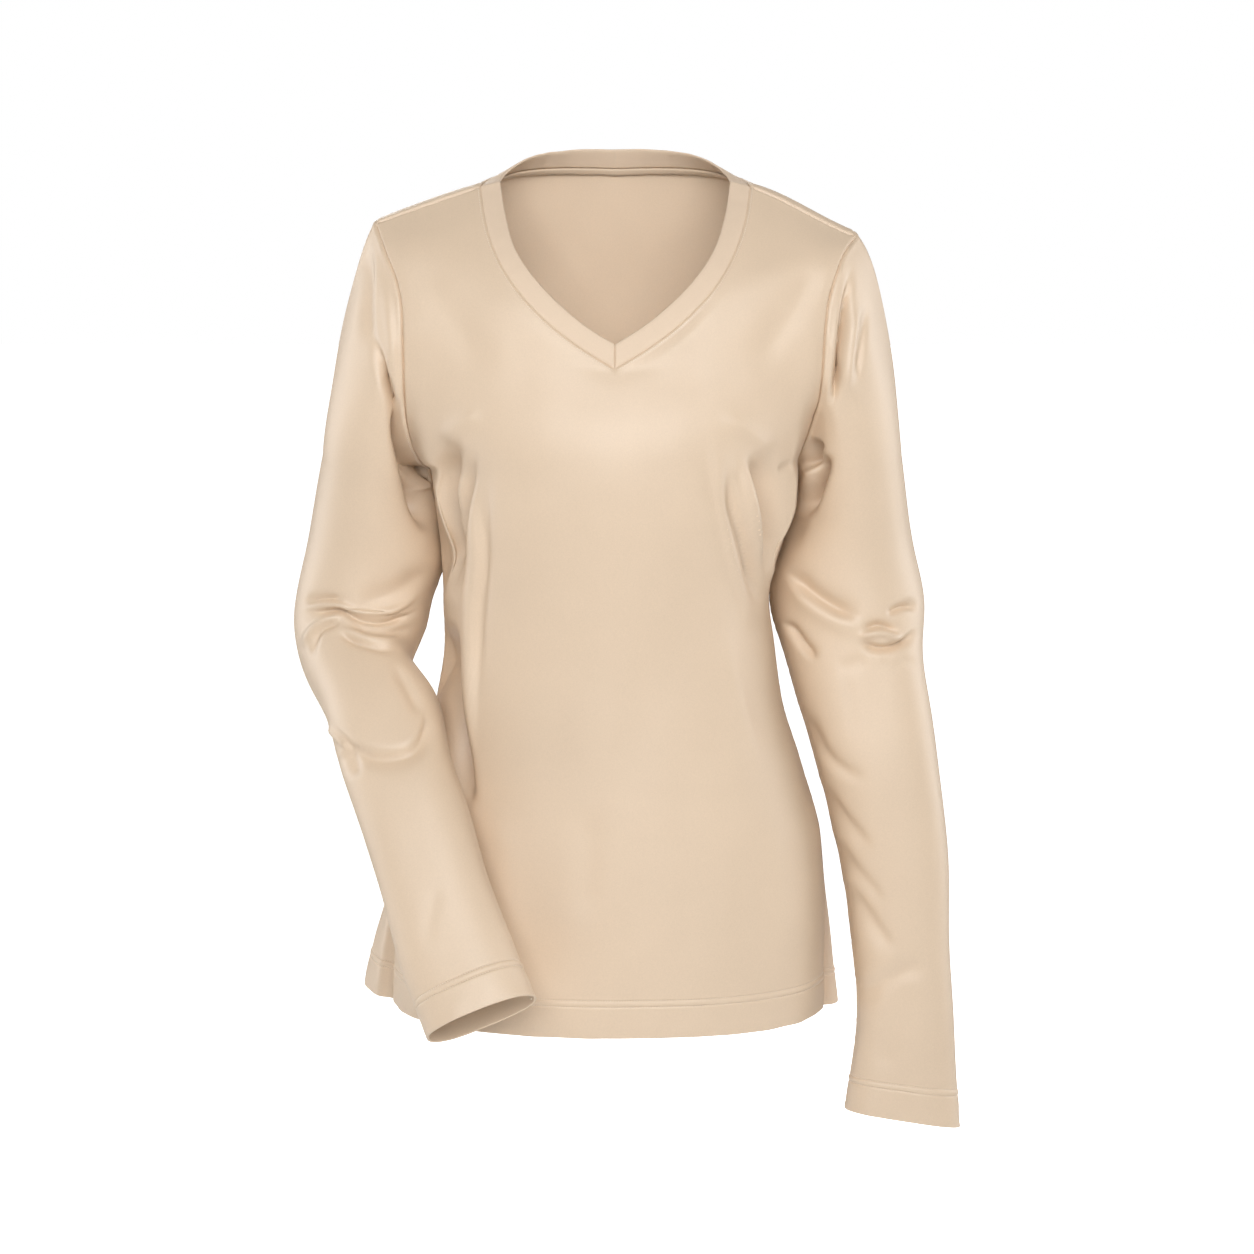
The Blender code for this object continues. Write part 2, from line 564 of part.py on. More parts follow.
def make_body():
    front, v_row, front_edge = front_grids()
    back, back_edge = back_grids()
    panels = {}
    for name, halves, folds, joined, is_front in (
            ("front", front, BODY_FOLDS, v_row + 1, True),
            ("back", back, BACK_FOLDS, len(back[LEFT]), False)):
        normals = panel_normals(halves, is_front)
        shaped, extra = {}, {}
        for hand in (LEFT, RIGHT):
            p = halves[hand]
            lift = fold_lift(p, 1.0, folds)
            lift = fade_at_edges(lift, 0, 4, 3)
            if is_front:
                c = np.arange(p.shape[1])[None, :]
                r = np.arange(p.shape[0])[:, None]
                lift = lift * np.where(r > v_row, smooth(0, 4, p.shape[1] - 1 - c), 1)
            extra[hand] = np.where(np.arange(len(p))[:, None] < 2, FOLD_EXTRA, 0) * np.ones(p.shape[:2])
            other = (back if is_front else front)[hand]
            shaped[hand] = draw_in(p + normals[hand] * lift[..., None], other, WALL / 2 + extra[hand][:, 0])
        final = panel_normals(shaped, is_front)
        flatten_middle(final, joined)
        panels[name] = (shaped, final)
        panel(name, shaped, final, extra, joined, (0.70, 0.55, 0.41))
    return panels, v_row, front_edge, back_edge


# ---------------------------------------------------------------- sleeves
def armhole_loop(panels, front_edge, back_edge, hand):
    """The panels' own edge points, from the shoulder over the front to the armpit and back up.

    Gives the points, the way the cloth runs off the panel there, and the turn of each."""
    parts = []
    for name, edge in (("front", front_edge[hand]), ("back", back_edge[hand])):
        grid = panels[name][0][hand][-len(edge):][::-1]
        parts.append((grid[:, 0], unit(grid[:, 0] - grid[:, 1]), along(grid[:, 0]) / 2))
    (f, f_off, f_turn), (b, b_off, b_turn) = parts
    f, b, f_off, b_off = f.copy(), b.copy(), f_off.copy(), b_off.copy()
    f[0], f_off[0] = (f[0] + b[0]) / 2, unit(f_off[0] + b_off[0])
    f[-1], f_off[-1] = (f[-1] + b[-1]) / 2, (0, 0, 1)
    points = np.concatenate([f, b[1:-1][::-1]])
    off = np.concatenate([f_off, b_off[1:-1][::-1]])
    turn = np.concatenate([f_turn, 1 - b_turn[1:-1][::-1]])
    return points, off, turn


def ring_points(rings, hand, at, turn):
    """Rings of a sleeve at distances along it; turn runs from the outside over the front."""
    outer = stack(rings["x_out"] * hand, rings["y"], rings["z_out"])
    inner = stack(rings["x_in"] * hand, rings["y"], rings["z_in"])
    middle = (outer + inner) / 2
    knots = np.concatenate([[0], np.cumsum(np.linalg.norm(np.diff(middle, axis=0), axis=1))])
    pick = lambda a: np.stack([fair(knots, a[:, c], at) for c in range(3)], -1)
    o, i = pick(outer), pick(inner)
    m = (o + i) / 2
    ahead = unit(np.stack([fair(knots, middle[:, c], at + 1e-4) - fair(knots, middle[:, c], at - 1e-4)
                           for c in range(3)], -1))
    wide = (o - i) / 2
    deep = unit(np.cross(ahead, unit(wide))) * -hand
    deep = deep * -np.sign(deep[:, 1:2])
    depth = fair(knots, rings["depth"], at)[:, None]
    angle = turn[None, :, None] * 2 * np.pi
    p = m[:, None] + wide[:, None] * np.cos(angle) + (deep * depth)[:, None] * np.sin(angle)
    return p, ahead, knots[-1]


def make_sleeve(name, hand, rings, folds_front, folds_back, panels, front_edge, back_edge):
    edge, off, turn = armhole_loop(panels, front_edge, back_edge, hand)
    knots_end = ring_points(rings, hand, np.array([0.0]), turn)[2]
    low = knots_end - CUFF_DEEP
    bend_low, bend_high = SLEEVE_ELBOW
    at = np.concatenate([spread(0, bend_low, 20 * MM), spread(bend_low, bend_high, 9.5 * MM)[1:],
                         spread(bend_high, low - 1.5 * MM, 25 * MM)[1:], [low, knots_end]])
    tube, ahead, _ = ring_points(rings, hand, at, turn)
    leave = np.stack([fair_round(CAP["turn"] / (1000 * MM), a, turn)
                      for a in (side(CAP, "m", hand) * hand, CAP["my"], CAP["mz"])], -1)
    round_way = unit(np.roll(edge, -1, 0) - np.roll(edge, 1, 0))
    start, off = (unit(a - round_way * np.sum(a * round_way, -1, keepdims=True)) for a in (leave, off))
    edge = edge + unit(start + off) * bend_gap(start, -off, WALL)[:, None]
    reach = np.linalg.norm(tube[0] - edge, axis=1)[:, None]
    arrive = ahead[0][None] * reach * 0.8
    t = np.array([0, 0.08, 0.20, 0.35, 0.51, 0.67, 0.84])[:, None, None]
    cap = hermite(edge[None], tube[0][None], leave[None], arrive[None], t)
    p = np.concatenate([cap, tube])
    n = sleeve_normals(p)
    lift = (fold_lift(p, smooth(0.05, 0.6, -n[..., 1]), folds_front)
            + fold_lift(p, smooth(0.05, 0.6, n[..., 1]), folds_back))
    lift = fade_at_edges(lift, 4, 0, 0)
    p = p + n * lift[..., None]
    n = sleeve_normals(p)
    rows, columns = p.shape[:2]
    index = np.arange(rows * columns).reshape(rows, columns)
    faces = []
    for r in range(rows - 1):
        for c in range(columns):
            d = (c + 1) % columns
            faces.append((int(index[r, c]), int(index[r + 1, c]), int(index[r + 1, d]), int(index[r, d])))
    extra = np.where(np.arange(rows)[:, None] >= rows - 2, FOLD_EXTRA, 0) * np.ones((rows, columns))
    if np.dot(np.cross(p[1, 0] - p[0, 0], p[0, 1] - p[0, 0]), n[0, 0]) < 0:
        faces = [tuple(reversed(f)) for f in faces]
    wall(name, p.reshape(-1, 3), n.reshape(-1, 3), extra.ravel(), faces, (0.70, 0.55, 0.41))
    return p


def fair_round(at, values, t):
    """Smooth closed curve through values at turns 0, 1/4, 1/2 and 3/4."""
    n = len(values)
    mean = np.mean(values)
    out = mean
    for k in (1, 2):
        c = np.sum(values * np.cos(2 * np.pi * k * at)) * (2 if k == 1 else 1) / n
        s = np.sum(values * np.sin(2 * np.pi * k * at)) * (2 if k == 1 else 0) / n
        out = out + c * np.cos(2 * np.pi * k * t) + s * np.sin(2 * np.pi * k * t)
    return out


def sleeve_normals(p):
    n = grid_normals(p, closed=True)
    centre = p.mean(axis=1, keepdims=True)
    out = np.sign(np.sum(n * (p - centre), axis=(1, 2), keepdims=True))
    return n * out


# ---------------------------------------------------------------- neckband
def make_band(panels, v_row):
    """One strip round the neck; its ends meet at the V, one each side of the middle."""
    shaped_front, front_normals = panels["front"]
    shaped_back, back_normals = panels["back"]
    halves = {}
    for hand in (LEFT, RIGHT):
        f = shaped_front[hand][v_row:, -1]
        b = shaped_back[hand][-1, BACK_SHOULDER_COLUMNS:]
        line = np.concatenate([f[:-1], [(f[-1] + b[0]) / 2], b[1:]])
        fn, bn = front_normals[hand][v_row:, -1], back_normals[hand][-1, BACK_SHOULDER_COLUMNS:]
        cloth = np.concatenate([fn[:-1], [unit(fn[-1] + bn[0])], bn[1:]])
        knots = along(line)
        place = np.sort(np.concatenate([knots, (knots[:-1] + knots[1:]) / 2]))
        split = knots[len(f) - 1]
        t = np.where(place <= split, 0.6 * place / split, 0.6 + 0.4 * (place - split) / (1 - split))
        pick = lambda a: np.stack([np.interp(place, knots, a[:, c]) for c in range(3)], -1)
        halves[hand] = (t, pick(line), unit(pick(cloth)))
    sections = []
    for hand in (LEFT, RIGHT):
        t, seam_line, cloth = halves[hand]
        free = np.stack([fair(BAND["at"] / (1000 * MM), BAND[m], t) for m in ("dx", "dy", "dz")], -1) * (-hand, 1, 1)
        across = unit(free)
        round_way = unit(np.gradient(seam_line, axis=0))
        face = unit(np.cross(round_way, across)) * hand
        face = face * np.sign(np.sum(face * cloth, -1, keepdims=True) + 1e-9)
        off = unit(np.cross(round_way, cloth))
        off = off * np.sign(np.sum(off * across, -1, keepdims=True))
        bend = np.arccos(np.clip(np.sum(off * across, -1), -1, 1))
        gap = SEAM_GAP + (WALL + BAND_WALL) / 2 * np.sin(bend / 2)
        start = seam_line + unit(off + across) * gap[:, None]
        end = seam_line + free
        # the ends at the V are cut straight up the middle
        start[0] = (MID_X + hand * SEAM_GAP / 2, start[0][1], start[0][2] + 0.35 * MM)
        end[0][0] = MID_X + hand * SEAM_GAP / 2
        face[0] = unit(face[0] * (0, 1, 1))
        half = BAND_WALL / 2
        rows = []
        for s, h in ((0, 1), (0.5, 1.15), (0.9, 0.95), (1.0, 0.45),
                     (1.0, -0.45), (0.9, -0.95), (0.5, -1), (0, -1)):
            rows.append(start + (end - start) * s + face * half * h)
        ring = np.stack(rows, 1)
        sections.append(ring if hand == LEFT else ring[::-1][1:])
    p = np.concatenate(sections)
    rows, columns = p.shape[:2]
    faces = [tuple(range(columns)), tuple(reversed(range((rows - 1) * columns, rows * columns)))]
    for r in range(rows - 1):
        for c in range(columns):
            d = (c + 1) % columns
            faces.append((r * columns + c, (r + 1) * columns + c, (r + 1) * columns + d, r * columns + d))
    solid("neckband", p.reshape(-1, 3), faces, (0.72, 0.57, 0.43))


def main():
    for thing in list(bpy.data.objects):
        bpy.data.objects.remove(thing, do_unlink=True)
    panels, v_row, front_edge, back_edge = make_body()
    make_sleeve("sleeve_left", LEFT, SLEEVE_LEFT, LEFT_SLEEVE_FRONT, LEFT_SLEEVE_BACK,
                panels, front_edge, back_edge)
    make_sleeve("sleeve_right", RIGHT, SLEEVE_RIGHT, RIGHT_SLEEVE_FRONT, RIGHT_SLEEVE_BACK,
                panels, front_edge, back_edge)
    make_band(panels, v_row)


main()
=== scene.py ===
"""Long-sleeve V-neck shirt in a sand-coloured satin knit, filled out with no wearer.

Metres, +Z up, front towards -Y.  Z = 0 is the level of the neck sides at the shoulder seams.
Tables are in millimetres; "left" is the left as seen from the front.
"""

import bpy
import numpy as np
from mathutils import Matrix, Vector
from mathutils.bvhtree import BVHTree


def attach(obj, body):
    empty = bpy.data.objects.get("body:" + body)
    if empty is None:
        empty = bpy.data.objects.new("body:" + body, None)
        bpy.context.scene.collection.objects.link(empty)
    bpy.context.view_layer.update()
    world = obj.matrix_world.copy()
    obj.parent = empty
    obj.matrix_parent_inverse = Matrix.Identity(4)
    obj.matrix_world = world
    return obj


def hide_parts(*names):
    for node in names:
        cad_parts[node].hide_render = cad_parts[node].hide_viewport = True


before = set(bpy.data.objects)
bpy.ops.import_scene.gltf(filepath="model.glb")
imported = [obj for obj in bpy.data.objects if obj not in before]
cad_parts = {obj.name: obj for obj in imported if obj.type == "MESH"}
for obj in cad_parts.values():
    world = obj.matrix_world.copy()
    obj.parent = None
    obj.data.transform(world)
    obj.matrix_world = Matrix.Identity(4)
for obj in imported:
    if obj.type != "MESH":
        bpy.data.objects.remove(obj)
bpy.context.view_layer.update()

MM = 0.001
OUTSIDE = 0.60 * MM          # from the middle of the cloth to its face
INSIDE = 0.35 * MM           # and to its back
MID_X = -1.0 * MM            # the middle line of the shirt
LEFT, RIGHT = -1, 1
HEM_ROWS = np.array([0, 0.12, 0.35, 0.7, 1.2, 2.2, 4, 6.5, 9.5, 12.5, 15.5, 18.5, 20.5, 21.6,
                     22.3, 22.9, 23.3, 23.6, 23.9, 24.3, 24.9, 26.0, 27.1, 27.7, 28.1, 28.4,
                     28.7, 29.1, 29.7, 30.5, 31.8, 33.5]) * MM
STITCH_ROWS = (23.6 * MM, 28.4 * MM)      # the two needle lines of the coverstitch
SEAM_STEPS = np.array([0, 0.35, 0.8, 1.35, 2.0, 2.9, 4.1, 5.7, 7.8]) * MM
CLOTH_STEP = 3.1 * MM
SETTLE = 17 * MM             # how far the chest and the upper back even out
PANEL_ACROSS = 185 * MM      # a half panel's usual width, which turns columns into distances
FRONT_COLUMNS, BACK_COLUMNS = 176, 112      # a whole sleeve's columns, at the front's and back's spacing
ELBOW = (72 * MM, 172 * MM)  # the stretch of a sleeve that is modelled more finely
LOW_ROWS, MID_ROWS, TOP_ROWS = 120, 26, 45      # a panel's rows up to the armpit, the V and the shoulder
BACK_ROWS, YOKE_ROWS = 48, 32                   # and on the back, up to the yoke and over it
SETTLES_ABOVE, SETTLES_BELOW = (-0.35, -0.27), (-0.11, -0.06)      # heights in metres
RUNS_OUT = -0.66             # a fold that ends lower than this runs off the hem at full height


def table(columns, rows):
    """A dict of named columns in metres; each line of rows starts with its label."""
    values = np.array([row.split()[1:] for row in rows.strip().splitlines()], float) * MM
    return dict(zip(columns.split(), values.T))


# Body from the hem to the armpit: side seam, middle front, middle back.  out_* is how far the
# back panel swings out beside the side seam, dip_* how far it hangs below it there.
BODY = table("z_left z_right z_mid x_left x_right y_seam y_front y_back "
             "out_left out_right dip_left dip_right", """
    hem       -635 -640 -637.5   174   161 -20 -130 120 88 62 -8 20
    hem_line  -609 -614   -611   173   162 -18 -129 120 76 50 -7 17
    low_hip   -566 -569   -567   170 162.5 -13 -127 119 46 30 -4  9
    hip       -505 -507   -506   163 159.5  -6 -122 115 14  8  0  2
    high_hip  -448 -449   -448 149.5 144.5  -2 -117 105  3  1  0  0
    low_waist -400 -400   -400 139.5 129.5   0 -114  97  0  0  0  0
    waist     -352 -352   -352 132.5 122.5   0 -113  93  0  0  0  0
    rib       -318 -318   -318   133 118.5   0 -115  95  0  0  0  0
    high_rib  -275 -275   -273 135.5 129.5   0 -119 101  0  0  0  0
    bust      -243 -243   -238 139.5   139   0 -122 107  0  0  0  0
""")
FRONT_ARMHOLE = table("x_left z_left x_right z_right y hx hy hz", """
    armpit   142.3 -218.7 139.7   -214   0  0 -66  0
    under    150.3 -210.3 144.5 -198.5 -18 10 -58  0
    low      155.3 -196.1 150.4 -178.3 -33 22 -46  1
    mid_low  158.6   -173 154.5 -161.5 -48 38 -34  2
    mid      159.3 -145.4 156.4 -140.8 -56 48 -26  3
    mid_high 159.8 -116.8 157.7 -116.8 -56 44 -20  4
    high     160.6  -95.2   160  -93.7 -52 36 -16  6
    top        164  -76.7 166.5    -70 -45 30 -12  8
    over     173.9  -52.9   174  -52.9 -30 27  -6  9
    shoulder   183  -31.2 183.8  -41.1  -8 27   0 10
""")
FRONT_NECK = table("x z y kx ky kz", """
    armpit      0   -214 -122.6 78 0  0
    under       0   -204   -122 78 0  0
    low         0   -190 -119.6 76 0  0
    mid_low     0   -166 -112.2 72 0  0
    mid         0 -137.2  -98.6 64 0  0
    mid_high   34   -116    -93 48 3 -1
    high       62    -92  -83.5 38 6 -3
    top      82.5    -66    -67 30 5 -5
    over       97  -33.5    -38 27 3 -8
    shoulder  103   -3.5     -5 27 0 -9
""")
V_ROW = 4                    # the row of that table where the V starts
BACK_ARMHOLE = table("x_left z_left x_right z_right y hx hy hz z_mid y_mid k", """
    armpit   142.3 -218.7 139.7   -214  0  0 60 0 -210   110 78
    under    149.5   -209 144.5 -198.5 20 10 52 0 -200 110.5 77
    low        154   -194   150 -178.3 36 20 44 0 -184 110.5 76
    mid_low    157   -171 153.5 -161.5 51 34 34 1 -160 108.5 74
    mid        158   -143 155.5 -140.8 59 44 27 2 -133   105 72
    mid_high 158.5   -116   157 -116.8 61 48 24 3 -107 100.5 70
    high       160  -95.2 159.5  -93.7 58 48 22 5  -85    96 70
    blade    163.5  -76.7 165.5    -71 51 48 20 7  -64    91 70
""")
BACK_NECK = table("x y z", """
    shoulder  103 -5 -3.5
    side     99.5 14  0.5
    turn       86 35  7.5
    flat     53.5 57 12.5
    middle      0 70   12
""")
SHOULDER_SHARE = 4 / 11      # how much of the back's top edge is shoulder seam
YOKE = table("at mx my mz", """
    shoulder     0  0 -58 -44
    neck_side  400  6 -60 -38
    turn       600 16 -46  14
    middle    1000  0 -20  46
""")
CAP = table("turn m_left m_right my mz", """
    shoulder   0 51 72   0 -74
    front    250 46 50 -10 -62
    armpit   500  3  3   2 -14
    back     750 48 50  14 -62
""")
SLEEVES = {
    LEFT: table("x_out z_out x_in z_in y depth", """
        bicep      226.5   -205 143.4   -234    9 52
        upper_arm  236.5   -252 137.2   -268   18 53
        low_arm      243   -284   136   -297   20 51
        over_elbow 249.5   -313 145.5   -324   17 48
        elbow      252.5   -340 150.5   -345   11 45
        elbow_low    246 -366.5 159.5 -364.5   -6 40
        fore_top     226 -401.5   140   -390  -41 36
        fore_high    207   -445 127.5 -425.5  -79 34
        fore_mid   187.5 -491.5   113   -464 -110 32
        fore_low   171.5 -533.5    98 -505.5 -134 31
        wrist      155.5 -583.5    80 -550.5 -158 30
        cuff         137   -625  60.5 -592.5 -181 28
    """),
    RIGHT: table("x_out z_out x_in z_in y depth", """
        bicep       220 -206   141   -227  10 52
        upper_arm   227 -250   138   -259  20 53
        low_arm   233.5 -290 124.5   -294  22 51
        elbow       240 -326 121.5   -329  19 49
        elbow_low 239.5 -358 129.5   -357  13 46
        fore_top    245 -402   143   -402   4 43
        fore_high   252 -457   158   -457  -5 40
        fore_mid  259.5 -535 176.5   -534 -15 34
        fore_low    261 -607   187   -606 -22 29
        wrist     264.5 -661   188   -655 -27 25
        cuff      269.5 -734   180 -719.5 -34 21
    """),
}
BAND = table("at dx dy dz", """
    v_point      0    0  4.5   18
    v_side     120  9.8    4 12.2
    chest      280   12  4.2  9.6
    collar     420   14    4  6.2
    neck_side  600 15.2  1.5    4
    turn       760   11 -6.5   10
    flat       880    5   -7 13.2
    middle    1000    0 -5.5 14.8
""")

# Folds: how wide on the left and on the right of a path, how high (a trough is below nought), and
# the path itself as seen from the front (x z, x z, ...).  A sleeve has folds in front and behind.
FRONT_FOLDS = """
    left_trough     6 9 -17     -116 -185, -122 -200, -127 -219, -127 -239, -127 -263, -128 -286, -126 -317
    left_line       3 8 5       -116 -214, -120 -237, -123 -258, -124 -276
    left_trough_b   3.5 7 -9    -105 -194, -110 -221, -114 -251, -117 -284, -119 -316
    left_ridge      2.6 10 6.5  -106 -205, -106 -240, -103 -281, -107 -312, -108 -351, -109 -389, -110 -434
    left_edge_line  2.6 6 -2.2  -94 -201, -95 -235, -97 -281, -101 -327, -103 -388
    left_deep       5 11 -26    -124 -330, -124 -370, -122 -405, -117 -440, -110 -474
    right_line      12 3.6 6.5  70 -186, 73 -204, 77 -228, 82 -252, 88 -282, 95 -312, 103 -344
    right_trough    3.2 9 -10   80 -204, 86 -234, 94 -265, 102 -297, 111 -325
    right_line_b    9 2.8 7.5   92 -197, 97 -228, 102 -251, 107 -275, 112 -304
    right_trough_b  10 5 -18    100 -198, 106 -221, 111 -245, 113 -273, 115 -298
    right_dart      2 2.2 -3.2  121 -215, 127 -213, 135 -211
    right_soft      6 8 1.4     79 -326, 90 -373, 101 -412, 113 -450
    bust_left       7 7 3.2     -131 -197, -123 -185, -111 -176, -97 -171
    bust_right      6 6 2.8     75 -171, 88 -177, 104 -188, 119 -201
    chest_right     10 14 -3    158 -51, 144 -74, 128 -101, 113 -123, 98 -143
    chest_left      14 14 -2.4  -159 -46, -138 -73, -120 -102, -105 -132, -94 -157
    middle_soft     10 10 -1.8  -20 -458, -21 -503, -23 -555
    left_skirt      14 14 2     -88 -461, -84 -513, -76 -581
    right_skirt     12 12 2     117 -465, 128 -526, 136 -589
    right_skirt_low 14 14 -1.6  97 -484, 105 -530, 113 -584
"""
BACK_FOLDS = """
    left_blade         16 16 -3.9  -128 -180, -104 -250, -92 -330
    left_drape         4.5 8 5.6   -122 -215, -112 -290, -106 -370
    left_drape_trough  5 8 -5.1    -112 -205, -101 -285, -96 -360
    left_waist         18 18 4.5   -70 -290, -70 -375, -78 -460
    left_waist_fold    4.5 9 -4.2  -104 -338, -72 -352, -30 -350
    left_armpit        3.6 6 -4.4  -136 -212, -121 -232, -98 -242
    right_blade        16 16 -3.9  126 -175, 100 -250, 86 -320
    right_drape        8 4.5 5.8   124 -220, 112 -310, 104 -410
    right_drape_trough 7 5 -4.5    113 -228, 101 -312, 92 -402
    right_side_trough  4 6 -4.8    131 -250, 122 -312, 117 -368
    right_waist        18 18 4.5   58 -300, 60 -385, 72 -470
    right_waist_fold   9 4.5 -3.9  98 -356, 62 -368, 22 -361
    right_armpit       6 3.6 -4.2  138 -206, 118 -226, 92 -230
    hollow             24 24 -4.5  -12 -300, -6 -375, -6 -450
    left_flute         15 15 6     -150 -520, -168 -580, -196 -690
    left_between       18 18 -6.8  -108 -500, -117 -570, -132 -690
    left_skirt         12 16 4.2   -76 -520, -84 -590, -90 -690
    middle_flute       20 20 4.8   -34 -500, -37 -570, -42 -690
    right_between      16 18 -5.4  70 -500, 77 -570, 88 -690
    right_skirt        14 10 3     34 -540, 38 -600, 40 -690
    right_flute        15 16 5.4   128 -500, 134 -570, 144 -690
"""
SLEEVE_FOLDS = {LEFT: ("""
    cap_edge       2.2 8 -4.7    -188 -37, -186 -73, -185 -107, -179 -127
    cap_crease     2.6 3.6 -13   -183 -111, -175 -142, -167 -172, -162 -199, -155 -220, -145 -237
    cap_ridge      4 5 3.3       -174 -60, -168 -103, -164 -142, -160 -175
    cap_line       1.8 2 -0.8    -169 -80, -164 -125, -162 -159
    under_arm      11 7 -33      -168 -158, -161 -184, -155 -212, -149 -242, -142 -272
    upper_band     7 9 -3.4      -145 -289, -152 -299, -165 -310, -182 -316, -203 -319
    elbow_pocket   3.6 2.6 -3.9  -242 -323, -233 -319, -221 -317, -209 -319
    elbow_ridge_a  2.6 2.2 3.1   -245 -326, -229 -323, -210 -323, -203 -326, -193 -328, -178 -328,\
                            -164 -323, -150 -312
    elbow_crease_a 1.9 2.7 -4.2  -243 -329, -225 -327, -210 -326, -203 -330, -191 -334, -176 -335,\
                            -161 -331, -151 -327
    elbow_pocket_b 3 3.5 -2.8    -208 -334, -195 -339, -179 -342, -165 -343, -156 -340
    elbow_ridge_b  2.6 2.2 2.5   -214 -339, -203 -342, -189 -347, -174 -349, -162 -350
    elbow_crease_b 1.9 2.9 -3.9  -215 -341, -204 -347, -190 -351, -175 -354, -165 -354
    curl_ridge     3 2.6 2.8     -242 -358, -238 -347, -230 -338, -221 -333, -210 -331
    curl_crease    2.2 3 -3.1    -234 -364, -233 -353, -229 -343, -222 -337, -210 -333
    elbow_nick     1.7 1.7 -0.8  -224 -342, -218 -338, -212 -335
    bag_crease     3.2 8 -7      -218 -407, -206 -416, -191 -423, -172 -425, -156 -422, -147 -415,\
                            -143 -404, -145 -389
    bag_side       3.2 5 -3      -172 -364, -161 -375, -153 -387, -145 -399
    edge_pleat     1.9 2.4 4     -219 -409, -211 -416, -201 -422
    edge_dimple    5 6 -5.5      -207 -424, -199 -432, -194 -441
    forearm_soft   6 6 -0.9      -129 -508, -136 -533, -138 -557
""", """
    cap_soft       8 6 -2.4      -194 -92, -182 -150, -178 -214
    cap_crease     3.5 5 -3.6    -176 -110, -163 -165, -155 -212
    under_arm      7 5 -2.6      -150 -226, -161 -258, -178 -280
    elbow_top      8 5 -2.4      -244 -296, -205 -314, -166 -309
    elbow_ridge_a  3 3 3.1       -249 -322, -222 -333, -189 -337, -160 -329
    elbow_crease_a 2.2 3.2 -3.9  -247 -328, -221 -338, -190 -342, -164 -334
    elbow_pocket   3.4 2.6 -2.5  -241 -342, -214 -349, -192 -347
    elbow_ridge_b  3 2.6 2.8     -236 -351, -206 -359, -175 -355
    elbow_crease_b 2.2 3.2 -3.6  -234 -356, -205 -364, -172 -360
    elbow_nick     2.4 2.6 -1.2  -203 -372, -187 -377, -174 -374
    bag_crease     5 4 -3.6      -226 -402, -204 -421, -178 -428, -160 -420
    bag_ridge      4 7 2         -214 -418, -192 -433, -168 -437
    forearm        6 8 -1.4      -196 -470, -176 -492, -150 -500
    forearm_low    6 6 -1.2      -158 -548, -136 -560, -116 -561
"""), RIGHT: ("""
    cap_crease      2.6 3 -13    178 -56, 173 -88, 169 -118, 166 -144, 163 -172
    cap_ridge       4 3.2 3.4    182 -88, 177 -118, 174 -144, 173 -163
    cap_inner_ridge 2.6 2.6 2.1  168 -88, 164 -118, 160 -148, 159 -169
    cap_streak      3 3 -3       191 -88, 186 -114, 182 -137, 182 -152
    under_trough    4 4 -20      154 -193, 149 -208, 145 -221
    under_ridge     3 3 3        157 -196, 152 -212, 145 -230, 143 -244
    under_trough_b  5 4.5 -20    159 -202, 154 -224, 147 -246, 142 -258
    under_soft      6 6 -2       145 -252, 139 -267, 134 -279
    valley          8 3.2 -7.5   130 -295, 137 -303, 145 -311, 157 -319, 174 -327, 190 -330
    valley_ridge    5 7 3        132 -304, 142 -316, 158 -329, 178 -338, 194 -343
    elbow_outer     4 2.6 -6     207 -331, 215 -327, 224 -325, 233 -329
    smile_pocket    4 2 -5.5     190 -344, 195 -340, 202 -338, 210 -341, 217 -346
    smile_ridge     2.2 2.2 5    184 -346, 192 -345, 200 -344, 208 -345, 216 -348, 223 -347
    smile_crease    2 4.2 -8     185 -349, 195 -352, 207 -354, 217 -352, 226 -348, 232 -342
    inner_crease    5 2.6 -7     129 -336, 136 -345, 145 -356, 156 -365
    elbow_low_a     6 8 -1       168 -371, 181 -368, 194 -361
    elbow_low_b     3.2 5 -1     217 -362, 224 -366, 232 -365
    elbow_low_c     5 6 -0.8     201 -364, 211 -366, 220 -374
    long_soft       4 4 -0.7     178 -373, 181 -399, 182 -426
    forearm_a       6 5 -3.6     143 -404, 151 -417, 157 -430, 167 -443, 180 -451, 198 -455
    forearm_b       5.5 9 -3.6   158 -460, 168 -477, 177 -488, 187 -499, 200 -513
    forearm_c       5 8 -2.8     170 -503, 179 -519, 188 -530, 198 -541, 209 -556
    forearm_d       5.5 9 -3.5   178 -538, 187 -551, 195 -562, 205 -576, 218 -590
    forearm_f       7 9 -3.2     184 -634, 196 -622, 212 -611, 228 -603, 246 -599
    forearm_g       10 10 -2     228 -612, 218 -640, 210 -672
""", """
    cap_soft       6 8 -2.4      192 -96, 178 -150, 170 -205
    cap_crease     5 3.5 -3.6    177 -98, 165 -142, 158 -188
    under_arm      5 7 -2.8      148 -214, 157 -248, 172 -270
    elbow_top      5 8 -2.4      236 -300, 200 -316, 160 -311
    elbow_ridge    3 3 3.1       240 -326, 214 -338, 180 -342, 150 -333
    elbow_crease   3.2 2.2 -3.9  238 -331, 213 -343, 181 -347, 153 -338
    elbow_pocket   2.6 3.4 -2.5  226 -352, 204 -360, 184 -356
    elbow_crease_b 3.2 2.4 -3.2  238 -362, 208 -375, 176 -372, 152 -362
    elbow_low      5 4 -1.5      214 -390, 194 -395, 176 -388
    forearm_high   5 4 -2        240 -430, 212 -452, 184 -458
    forearm_mid    5 4 -1.6      245 -498, 224 -516, 204 -522
    forearm_low    5 5 -2        250 -560, 226 -580, 200 -586
    forearm_end    6 6 -1.2      244 -640, 222 -652, 204 -650
""")}


